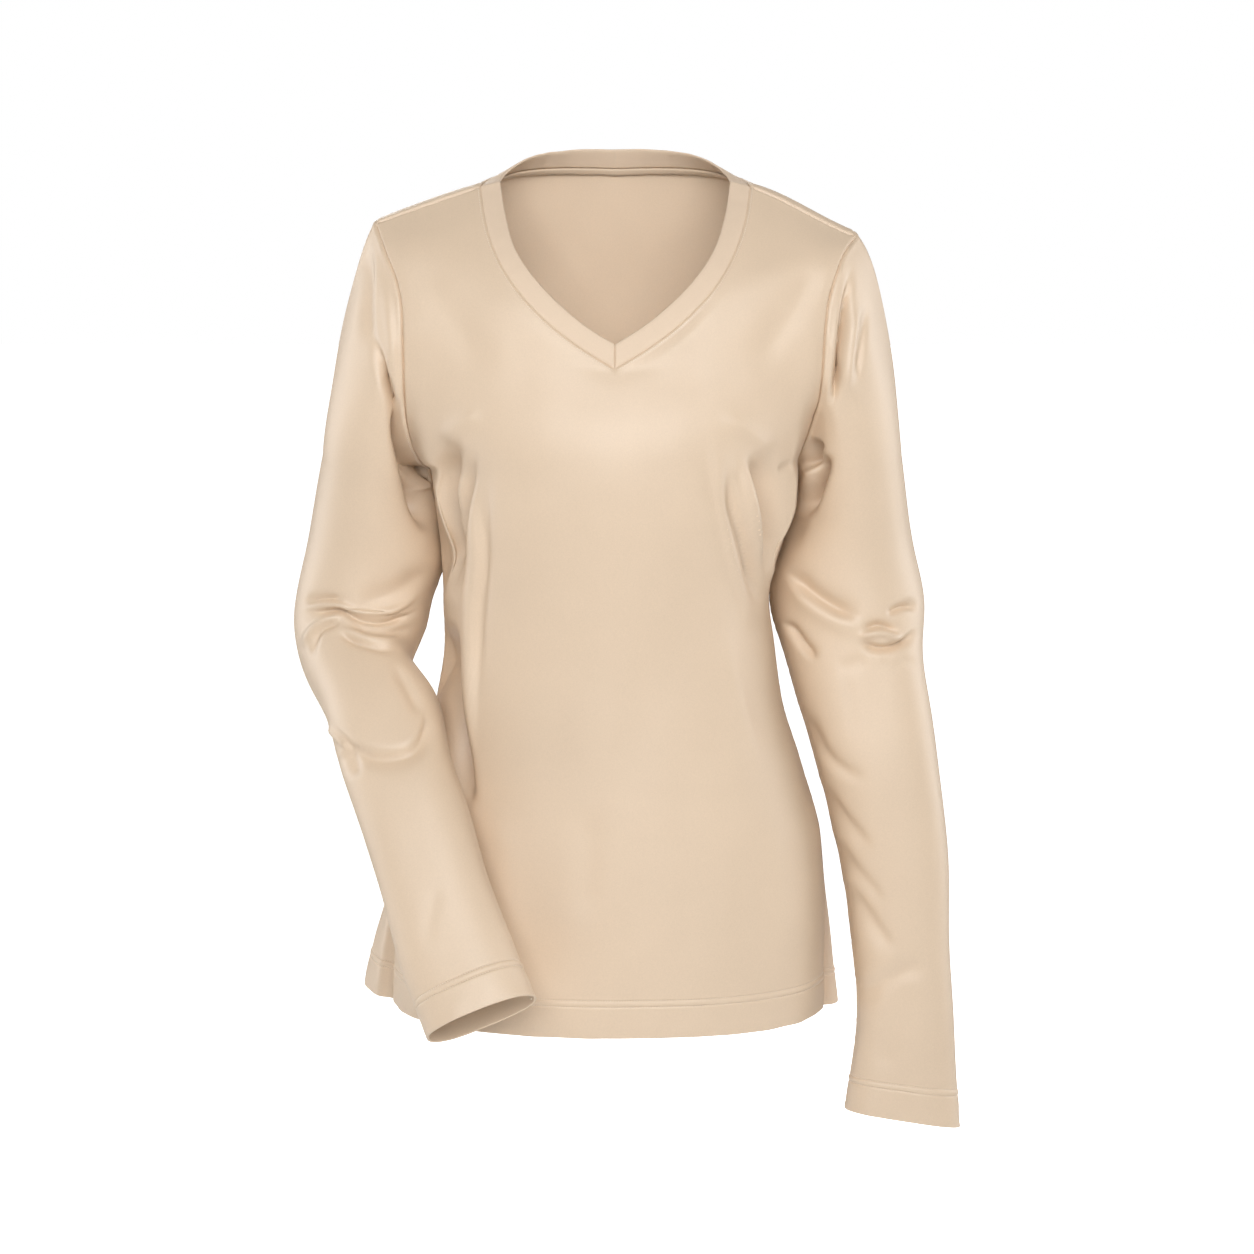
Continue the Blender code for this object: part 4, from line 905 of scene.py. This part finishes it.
def allowance(name, seam, into, width=5.0 * MM, thick=1.3 * MM, pitch=1.9 * MM):
    """Overlocked seam allowance on the inside: a soft strip and the threads over its edge.

    into is the way it lies from the seam."""
    points = seam.points - unit(seam.facing) * 1.5 * MM
    at = run_length(points)
    where = np.linspace(0, at[-1], int(at[-1] / (2.5 * MM)) + 2)
    line, lie, out = (resample(a, at, where) for a in (points, into, seam.facing))
    lie, out = unit(lie), unit(out)
    uneven = 1 + 0.07 * waver(where, 25 * MM, 11)
    lift = thick * 0.5
    outline = [(0.0, -0.35), (0.25, -0.5), (0.7, -0.5), (0.95, -0.3), (1.0, 0.0), (0.95, 0.3),
               (0.7, 0.5), (0.25, 0.5), (0.0, 0.35)]
    ring = [line + lie * (width * a * uneven)[:, None] - out * (lift + thick * b) for a, b in outline]
    first = np.arange(pitch, at[-1] - pitch, pitch)
    hops = []
    for a, b, lead in ((0.05, -0.56, 0), (0.5, -0.66, 0.25), (0.92, -0.5, 0.5), (1.06, 0.0, 0.6),
                       (0.9, 0.5, 0.7)):
        w = first + lead * pitch
        s = (width * a * np.interp(w, where, uneven))[:, None]
        hops.append(resample(line, where, w) + unit(resample(lie, where, w)) * s
                    - unit(resample(out, where, w)) * (lift + thick * b))
    up = np.repeat(-unit(resample(out, where, first))[:, None], 5, 1)
    return (sewn(name + "_strip", [tubes(np.stack(ring, 1)[None])]),
            sewn(name + "_thread", [cords(np.stack(hops, 1), up, 0.17 * MM)]))


# ---------------------------------------------------------------- materials
def node(tree, kind, **settings):
    made = tree.nodes.new("ShaderNode" + kind)
    for key, value in settings.items():
        setattr(made, key, value)
    return made


def fill(sockets, values):
    for label, value in values.items():
        sockets[label].default_value = value


def math_node(tree, operation, *values):
    made = node(tree, "Math", operation=operation)
    for socket, value in zip(made.inputs, values):
        if isinstance(value, (int, float)):
            socket.default_value = value
        else:
            tree.links.new(value, socket)
    return made.outputs[0]


def noise(tree, scale, detail):
    made = node(tree, "TexNoise")
    fill(made.inputs, {"Scale": scale, "Detail": detail})
    tree.links.new(node(tree, "TexCoord").outputs["Object"], made.inputs["Vector"])
    return made.outputs[0]


def knit_group():
    """Rows of small loops along the grain of the cloth, and its slight unevenness; the colour is painted
    darker in the grooves between the loops, a painted shade.
    """
    group = bpy.data.node_groups.new("satin_knit", "ShaderNodeTree")
    for label, value in (("Wale Width", 0.0006), ("Course Height", 0.0005), ("Color", (0.5, 0.5, 0.5, 1)),
                         ("Shade", 0.1), ("Roughness", 0.45)):
        kind = "NodeSocketColor" if label == "Color" else "NodeSocketFloat"
        group.interface.new_socket(label, in_out="INPUT", socket_type=kind).default_value = value
    for label, kind in (("Color", "Color"), ("Roughness", "Float"), ("Height", "Float")):
        group.interface.new_socket(label, in_out="OUTPUT", socket_type="NodeSocket" + kind)

    def do(operation, *values):
        return math_node(group, operation, *values)

    def swing(value, middle, share):
        return do("MULTIPLY", do("SUBTRACT", value, middle), share)

    link = group.links.new
    given = group.nodes.new("NodeGroupInput").outputs
    result = group.nodes.new("NodeGroupOutput").inputs
    grain = node(group, "SeparateXYZ")
    link(node(group, "Attribute", attribute_name="grain").outputs["Vector"], grain.inputs[0])
    wale = do("DIVIDE", grain.outputs["X"], given["Wale Width"])
    course = do("DIVIDE", grain.outputs["Y"], given["Course Height"])
    off = do("MULTIPLY", do("ABSOLUTE", do("SUBTRACT", do("FRACT", wale), 0.5)), 2)
    rib = do("SUBTRACT", 1, do("MULTIPLY", off, off))
    loop = do("SINE", do("MULTIPLY", do("ADD", course, do("MULTIPLY", off, 0.5)), 6.2832))
    height = do("ADD", do("MULTIPLY", rib, 0.7), do("MULTIPLY", loop, 0.18))
    cloud, fleck = noise(group, 9, 3), noise(group, 900, 2)
    # random mottling of the colour, plus painted shade: darker in the grooves between the loops, lighter on
    # the loops
    mottle_and_groove_shade = do("ADD", do("ADD", do("SUBTRACT", cloud, 0.5), swing(fleck, 0.5, 0.9)), swing(height, 0.55, 0.5))
    colour = node(group, "HueSaturation")
    link(given["Color"], colour.inputs["Color"])
    link(do("ADD", 1, do("MULTIPLY", mottle_and_groove_shade, given["Shade"])), colour.inputs["Value"])
    link(colour.outputs[0], result["Color"])
    link(do("ADD", given["Roughness"], swing(cloud, 0.5, 0.10)), result["Roughness"])
    link(height, result["Height"])
    return group


def new_material(name):
    material = bpy.data.materials.new(name)
    material.use_nodes = True
    return material, material.node_tree, material.node_tree.nodes["Principled BSDF"].inputs


def add_relief(tree, shader, height, strength):
    """Relief 0.1 mm high at full strength."""
    relief = node(tree, "Bump")
    fill(relief.inputs, {"Strength": strength, "Distance": 0.0001})
    tree.links.new(height, relief.inputs["Height"])
    tree.links.new(relief.outputs["Normal"], shader["Normal"])


def cloth_material(name, colour, roughness, shade, sheen, relief, gloss=0.8):
    material, tree, shader = new_material(name)
    knit = node(tree, "Group", node_tree=satin_knit)
    fill(knit.inputs, {"Color": (*colour, 1), "Roughness": roughness, "Shade": shade})
    tree.links.new(knit.outputs["Color"], shader["Base Color"])
    tree.links.new(knit.outputs["Roughness"], shader["Roughness"])
    add_relief(tree, shader, knit.outputs["Height"], relief)
    fill(shader, {"IOR": 1.5, "Specular IOR Level": gloss, "Sheen Weight": sheen, "Sheen Roughness": 0.4,
                  "Sheen Tint": (1.0, 0.93, 0.86, 1)})
    return material


def thread_material(name, colour):
    """Twisted polyester thread: fine slanting plies along a bright filament, painted a little darker in the
    grooves between the plies as painted shade.
    """
    material, tree, shader = new_material(name)
    ply = node(tree, "TexWave")
    fill(ply.inputs, {"Scale": 1400, "Distortion": 1.5})
    tree.links.new(node(tree, "TexCoord").outputs["Object"], ply.inputs["Vector"])
    # painted shade: the colour is darker where the plies' relief is low
    ramp = node(tree, "ValToRGB")
    for stop, share in zip(ramp.color_ramp.elements, (0.86, 1)):
        stop.color = (*(c * share for c in colour), 1)
    tree.links.new(ply.outputs["Fac"], ramp.inputs[0])
    tree.links.new(ramp.outputs[0], shader["Base Color"])
    shader["Roughness"].default_value = 0.42
    add_relief(tree, shader, ply.outputs["Fac"], 0.3)
    return material


# ---------------------------------------------------------------- making
def beside(half, column=8):
    """Normals a little way in from a half panel's outer edge."""
    return unit(np.cross(half["p"][:, column + 1] - half["p"][:, column - 1], along(half["p"][:, column])))


fronts = {hand: front_half(hand) for hand in (LEFT, RIGHT)}
backs = {hand: back_half(hand) for hand in (LEFT, RIGHT)}
loops = {hand: armhole_loop(fronts[hand], backs[hand]) for hand in (LEFT, RIGHT)}
grids = {hand: sleeve_grid(hand, *loops[hand]) for hand in (LEFT, RIGHT)}

# The neck seam runs from the V up one side, round the back and down the other side.
side_seams, arm_seams, shoulder_seams, under_seams = {}, {}, {}, {}
neck_points, neck_out = [], []
for hand in (LEFT, RIGHT):
    f, b, grid = fronts[hand], backs[hand], grids[hand]
    k = f["armpit"] + 1
    f_out, b_out = turned(beside(f), (0, -1, 0)), turned(beside(b), (0, 1, 0))
    side_seams[hand] = Seam(f["p"][:k, 0], unit(f_out[:k] + b_out[:k]), 0.9 * MM,
                            soft_start=False, seed=21 + hand)
    loop, turn = loops[hand]
    panel_out = np.concatenate([f_out[k - 1:][::-1], b_out[k:]])
    cap_out = unit(np.cross(unit(along(loop)), resample(grid["leave"], grid["turn"], turn)))
    cap_out = turned(cap_out, loop - grid["p"][30].mean(0))
    arm_seams[hand] = Seam(loop, unit(panel_out + cap_out), 1.0 * MM, False, False, seed=31 + hand)
    line = f["p"][-1]
    up = turned(unit(np.cross(along(line), line - f["p"][-4])), (0, 0, 1))
    shoulder_seams[hand] = Seam(line, up, 0.8 * MM, seed=41 + hand)
    column = grid["seam_column"]
    under = grid["p"][:, column]
    out = unit(np.cross(grid["p"][:, column + 6] - grid["p"][:, column - 6], along(under)))
    under_seams[hand] = Seam(under, turned(out, under - grid["p"].mean(1)), 0.8 * MM,
                             soft_end=False, seed=51 + hand)
    rise, rear = f["p"][f["v_row"]:, -1], b["p"][-1, CORNER:]
    f_in = turned(unit(np.cross(along(rise), rise - f["p"][f["v_row"]:, -9])), (0, -1, 0))
    b_in = turned(unit(np.cross(along(rear), rear - b["p"][-9, CORNER:])), (0, 0.7, 0.7))
    line, out = np.concatenate([rise[:-1], rear]), np.concatenate([f_in[:-1], b_in])
    joint = len(rise) - 1
    out[joint - 2:joint + 3] = unit(out[joint - 3] + out[joint + 3])
    neck_points.append(line if hand == LEFT else line[::-1][1:])
    neck_out.append(out if hand == LEFT else out[::-1][1:])
neck_seam = Seam(np.concatenate(neck_points), np.concatenate(neck_out), 0.5 * MM, False, False,
                 seed=61, topstitched=True)

# Cloth of each piece, folded, drawn in at its seams and given its two faces.
front, back = panel_cloth(fronts, True), panel_cloth(backs, False)
for cloth, folds, facing, seed in ((front, FRONT_FOLDS, -1, 3), (back, BACK_FOLDS, 1, 4)):
    reach = 60 * MM
    edge = np.full(len(cloth.points), reach)
    for seam in (*side_seams.values(), *arm_seams.values(), *shoulder_seams.values(), neck_seam):
        index, far, _ = seam.near(cloth.points, reach)
        edge[index] = np.minimum(edge[index], far)
    z = cloth.points[:, 2]
    loose = smooth(2 * MM, 26 * MM, edge) * smooth(*SETTLES_ABOVE, z) * (1 - smooth(*SETTLES_BELOW, z))
    settle(cloth, loose, facing, SETTLE)
    calm = smooth(1 * MM, 11 * MM, edge) * cloth.values["keep"]
    cloth.lift((fold_lift(cloth.points, folds) + 0.9 * MM * undulate(cloth.points, 95 * MM, seed)
                + 0.28 * MM * undulate(cloth.points, 42 * MM, seed + 20)) * calm)
sleeves = {}
for hand in (LEFT, RIGHT):
    cloth = sleeve_cloth(grids[hand], hand)
    n = cloth.normals()
    on_front, on_back = SLEEVE_FOLDS[hand]
    far_down = smooth(0.28, 0.36, -cloth.points[:, 2])
    start, full = 0.05 - 0.3 * far_down, 0.6 - 0.25 * far_down
    lift = (fold_lift(cloth.points, on_front) * smooth(start, full, -n[:, 1])
            + fold_lift(cloth.points, on_back) * smooth(start, full, n[:, 1])
            + 0.7 * MM * undulate(cloth.points, 70 * MM, 8 + hand))
    cloth.lift(lift * cloth.values["keep"])
    sleeves[hand] = cloth

for cloth, welt in ((front, 0.12 * MM), (back, 0.4 * MM)):
    welted = ((side_seams, welt), (arm_seams, 0.1 * MM), (shoulder_seams, welt), ({0: neck_seam}, 0.3 * MM))
    draw_seams(cloth, [(seam, height) for seams, height in welted for seam in seams.values()])
for hand in (LEFT, RIGHT):
    draw_seams(sleeves[hand], [(arm_seams[hand], 0.45 * MM), (under_seams[hand], 0.25 * MM)])

front_panel = shell("front_panel", front)
back_panel = shell("back_panel", back)
left_sleeve = shell("left_sleeve", sleeves[LEFT])
right_sleeve = shell("right_sleeve", sleeves[RIGHT])


# ---------------------------------------------------------------- neckband
def band_shell():
    """The folded strip round the neck, with its mitre at the V."""
    at = neck_seam.at
    line = neck_seam.points + neck_seam.draw
    half_way = at[-1] / 2
    from_v = np.minimum(at, at[-1] - at)
    hand = np.where(at < half_way, LEFT, RIGHT)
    rise = run_length(fronts[LEFT]["p"][fronts[LEFT]["v_row"]:, -1])[-1]
    place = np.where(from_v <= rise, 0.6 * from_v / rise, 0.6 + 0.4 * (from_v - rise) / (half_way - rise))
    free = np.stack([fair(BAND["at"] / (1000 * MM), BAND[m], place) for m in ("dx", "dy", "dz")], -1)
    free = free * np.stack([-hand, hand * 0 + 1, hand * 0 + 1], -1)
    free[abs(at - half_way) < 0.1 * MM, 0] = 0
    round_way = unit(along(line))
    face = turned(unit(np.cross(round_way, unit(free))), neck_seam.facing)
    for _ in range(3):
        face[1:-1] = unit(face[:-2] + face[1:-1] * 2 + face[2:])
    line[0, 0] = line[-1, 0] = MID_X
    face[[0, -1]] = unit(face[[0, -1]] * (0, 1, 1))
    wobble = 1 + 0.018 * waver(at, 60 * MM, 71)
    # Round the strip: share of its width from the seam, millimetres out from its middle.
    section = [(0.0, 0.3), (0.03, 0.62), (0.08, 0.95), (0.16, 1.12), (0.3, 1.2), (0.45, 1.2), (0.6, 1.18),
               (0.75, 1.12), (0.87, 1.0), (0.94, 0.78), (0.985, 0.42), (1.0, 0.0), (0.985, -0.42),
               (0.94, -0.78), (0.87, -1.0), (0.75, -1.1), (0.6, -1.1), (0.45, -1.1), (0.3, -1.1),
               (0.16, -1.1), (0.06, -1.0), (0.0, -0.8)]
    groove = 1 - 0.75 * np.exp(-(from_v / (1.1 * MM)) ** 2)
    p = np.stack([line + free * (across * wobble)[:, None]
                  + face * (MM * (out * groove + 0.12 * waver(at, 26 * MM, 72) * across))[:, None]
                  for across, out in section], 1)
    rows, columns = p.shape[:2]
    index = np.arange(rows * columns).reshape(rows, columns)
    faces = [grid_quads(index, closed=True), np.stack([index[0][::-1], index[-1]])]
    grain = stack(np.broadcast_to(at[:, None], (rows, columns)), np.linspace(0, 0.034, columns)[None], 0.0)
    return make_mesh("folded_neckband", p.reshape(-1, 3), faces, grain.reshape(-1, 3)), p


neckband, band_points = band_shell()

# ---------------------------------------------------------------- stitching
NEEDLE, LOOPER = 0.25 * MM, 0.14 * MM      # radius of the needle thread and of the looper's
STITCH, GAP = 1.62 * MM, 0.38 * MM      # length of a hem stitch and the gap after it


def needle_row(cloth, height, closed):
    """Points at one height above a hem, in order: the cloth's face, the way out and its back."""
    pick = np.nonzero(abs(cloth.values["hem"] - height) < 0.02 * MM)[0]
    place = cloth.values["u"][pick]
    if not closed:
        place = np.where(cloth.points[pick, 0] <= MID_X + 0.01 * MM, place, 2 - place)
    order = pick[np.argsort(place)]
    if closed:
        order = np.append(order, order[0])
    return cloth.outer[order], cloth.face_normals[order], cloth.inner[order]


def coverstitch(name, cloth, closed):
    """Two needle lines on the face of a turned hem, and the looper threads on its back."""
    low, high = (needle_row(cloth, height, closed) for height in STITCH_ROWS)
    needles = stitches([low[:2], high[:2]], STITCH + GAP, STITCH, NEEDLE)
    back_row = (low[2] + high[2]) / 2, -(low[1] + high[1]) / 2, unit(high[2] - low[2])
    return sewn(name, [needles, loopers(back_row, STITCH_ROWS[1] - STITCH_ROWS[0], STITCH + GAP, LOOPER)])


front_hem, back_hem, left_cuff, right_cuff = (
    coverstitch(name + "_coverstitch", cloth, closed) for name, cloth, closed in (
        ("front_hem", front, False), ("back_hem", back, False),
        ("left_cuff", sleeves[LEFT], True), ("right_cuff", sleeves[RIGHT], True)))

# A fine topstitch on the body, just outside the neckband.
aside = unit(np.cross(along(neck_seam.points), neck_seam.facing))
aside = turned(aside, band_points[:, 0] - band_points[:, 11])
trees = [surface_tree(cloth.outer, cloth.quads) for cloth in (back, front)]
found = [min((tree.find_nearest(Vector(p)) for tree in trees), key=lambda hit: hit[3])
         for p in neck_seam.points + aside * 1.9 * MM]
places, facings = (np.array([hit[k][:] for hit in found]) for k in (0, 1))
neck_topstitch = sewn("neck_topstitch", [stitches([(places, turned(unit(facings), neck_seam.facing))],
                                                  pitch=1.9 * MM, length=1.3 * MM, radius=0.19 * MM)])

# Seam allowances inside, each with the cut piece that it belongs to.
inside_pieces = [("neckband", allowance("neck_allowance", neck_seam, aside, width=5.2 * MM, thick=1.7 * MM))]
for hand, word in ((LEFT, "left"), (RIGHT, "right")):
    b, grid = backs[hand], grids[hand]
    k, column = b["armpit"] + 1, grid["seam_column"]
    side_seam, arm_seam, shoulder_seam, under_seam = (
        seams[hand] for seams in (side_seams, arm_seams, shoulder_seams, under_seams))
    for place, owner, seam, way, way_at, where in (
            ("side", "back", side_seam, b["p"][:k, 8] - b["p"][:k, 0],
             b["v"][:k] / b["v"][k - 1] * side_seam.at[-1], side_seam.at),
            ("armhole", "sleeve_" + word, arm_seam, grid["p"][9] - grid["p"][0], grid["turn"],
             np.interp(arm_seam.at, run_length(loops[hand][0]), loops[hand][1])),
            ("shoulder", "back", shoulder_seam, b["p"][-9, :CORNER + 1] - b["p"][-1, :CORNER + 1],
             COLUMNS[:CORNER + 1] / SHOULDER_SHARE * shoulder_seam.at[-1], shoulder_seam.at),
            ("underarm", "sleeve_" + word, under_seam, grid["p"][:, column + 8] - grid["p"][:, column],
             run_length(grid["p"][:, column]), under_seam.at)):
        into = resample(unit(way), way_at, where)
        inside_pieces.append((owner, allowance("%s_%s_allowance" % (word, place), seam, into)))

# ---------------------------------------------------------------- finishes
SAND = (0.70, 0.545, 0.395)
satin_knit = knit_group()
# The inside faces get a lighter, more matte copy of the sand knit: its lighter colour is painted light on
# the inside, which lies in shade.
inside_knit_painted_lighter = cloth_material("inside_of_knit_painted_lighter", (0.84, 0.67, 0.50), 0.7, 0.10, 0.05, 0.3, gloss=0.3)
allowance_knit = cloth_material("seam_allowance_knit", SAND, 0.6, 0.12, 0.2, 0.4)
thread = thread_material("sand_thread", (0.90, 0.78, 0.66))


def dress(piece, material, owner):
    piece.data.materials.clear()
    piece.data.materials.append(material)
    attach(piece, "root")


for piece, word, owner, flat, area, sewn_on in (
        (front_panel, "front", "front", (0.450, 0.680), 0.243, front_hem),
        (back_panel, "back", "back", (0.560, 0.700), 0.271, back_hem),
        (left_sleeve, "left_sleeve", "sleeve_left", (0.380, 0.686), 0.165, left_cuff),
        (right_sleeve, "right_sleeve", "sleeve_right", (0.370, 0.709), 0.177, right_cuff),
        (neckband, "neckband", "neckband", (0.0165, 0.696), 0.0111, neck_topstitch)):
    if piece is neckband:
        # a slightly lighter copy of the sand knit: painted light on the band, whose inner face lies in shade
        knit = cloth_material("neckband_satin_knit", (0.73, 0.575, 0.43), 0.62, 0.08, 0.02, 0.3, gloss=0.35)
    else:
        knit = cloth_material(word + "_satin_knit", SAND, 0.46, 0.14, 0.05, 0.45)
    dress(piece, knit, owner)
    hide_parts(owner)
    if piece is not neckband:
        piece.data.materials.append(inside_knit_painted_lighter)
        piece.data.polygons.foreach_set("material_index", inner_faces[piece.name])
    dress(sewn_on, thread, owner)
for owner, (strip, threads) in inside_pieces:
    dress(strip, allowance_knit, owner)
    dress(threads, thread, owner)


# ---------------------------------------------------------------- studio
def aim(thing, place, target):
    thing.location = place
    thing.rotation_euler = (Vector(target) - Vector(place)).to_track_quat("-Z", "Y").to_euler()


for name, place, target, size, power in (
        ("front_softbox", (0.1, -2.7, 1.0), (0, 0, -0.3), (2.9, 1.3), 79),
        ("right_softbox", (2.5, 0.8, 0.1), (0, 0, -0.36), (1.4, 1.8), 30),
        ("left_softbox", (-2.5, 0.8, 0.1), (0, 0, -0.36), (1.4, 1.8), 30),
        ("back_softbox", (-0.4, 2.8, 0.6), (0, 0, -0.36), (1.6, 1.2), 31)):
    lamp = bpy.data.lights.new(name, "AREA")
    lamp.shape = "RECTANGLE"
    lamp.size, lamp.size_y = size
    lamp.energy = power
    aim(show(name, lamp), place, target)

# White paper all round: full white to the eye, a soft light on the cloth.
world = bpy.data.worlds.new("studio")
bpy.context.scene.world = world
world.use_nodes = True
sky = world.node_tree
height = node(sky, "SeparateXYZ")
sky.links.new(node(sky, "TexCoord").outputs["Generated"], height.inputs[0])
ceiling = node(sky, "MapRange", interpolation_type="SMOOTHSTEP")
fill(ceiling.inputs, {"From Min": 0.05, "From Max": 0.9, "To Min": 0.28, "To Max": 0.24})
sky.links.new(height.outputs["Z"], ceiling.inputs["Value"])
seen = node(sky, "LightPath").outputs["Is Camera Ray"]
paper = sky.nodes["Background"]
paper.inputs[0].default_value = (1, 1, 1, 1)
sky.links.new(math_node(sky, "MAXIMUM", ceiling.outputs[0], seen), paper.inputs[1])
bpy.context.scene.view_settings.view_transform = "Standard"

FLOOR, REACH = -1.42, 30     # height of the paper floor and how far it runs each way
floor_mesh = bpy.data.meshes.new("floor")
floor_mesh.from_pydata([(x * REACH, y * REACH, FLOOR) for x, y in ((-1, -1), (1, -1), (1, 1), (-1, 1))],
                       [], [(0, 1, 2, 3)])
floor = show("floor", floor_mesh)
paint, tree, coat = new_material("floor_paint")
fill(coat, {"Base Color": (0.88, 0.88, 0.88, 1), "Roughness": 0.9, "Emission Color": (1, 1, 1, 1)})
seen = node(tree, "LightPath").outputs["Is Camera Ray"]
tree.links.new(math_node(tree, "MULTIPLY", seen, 1.1), coat["Emission Strength"])
floor_mesh.materials.append(paint)

EYE, LOOKED_AT = (0.008, -2.4, -0.02), (0.008, 0, -0.343)
camera = bpy.data.cameras.new("camera")
camera.sensor_width = 36
camera.lens = 89.13
stand = show("camera", camera)
aim(stand, EYE, LOOKED_AT)
bpy.context.scene.camera = stand
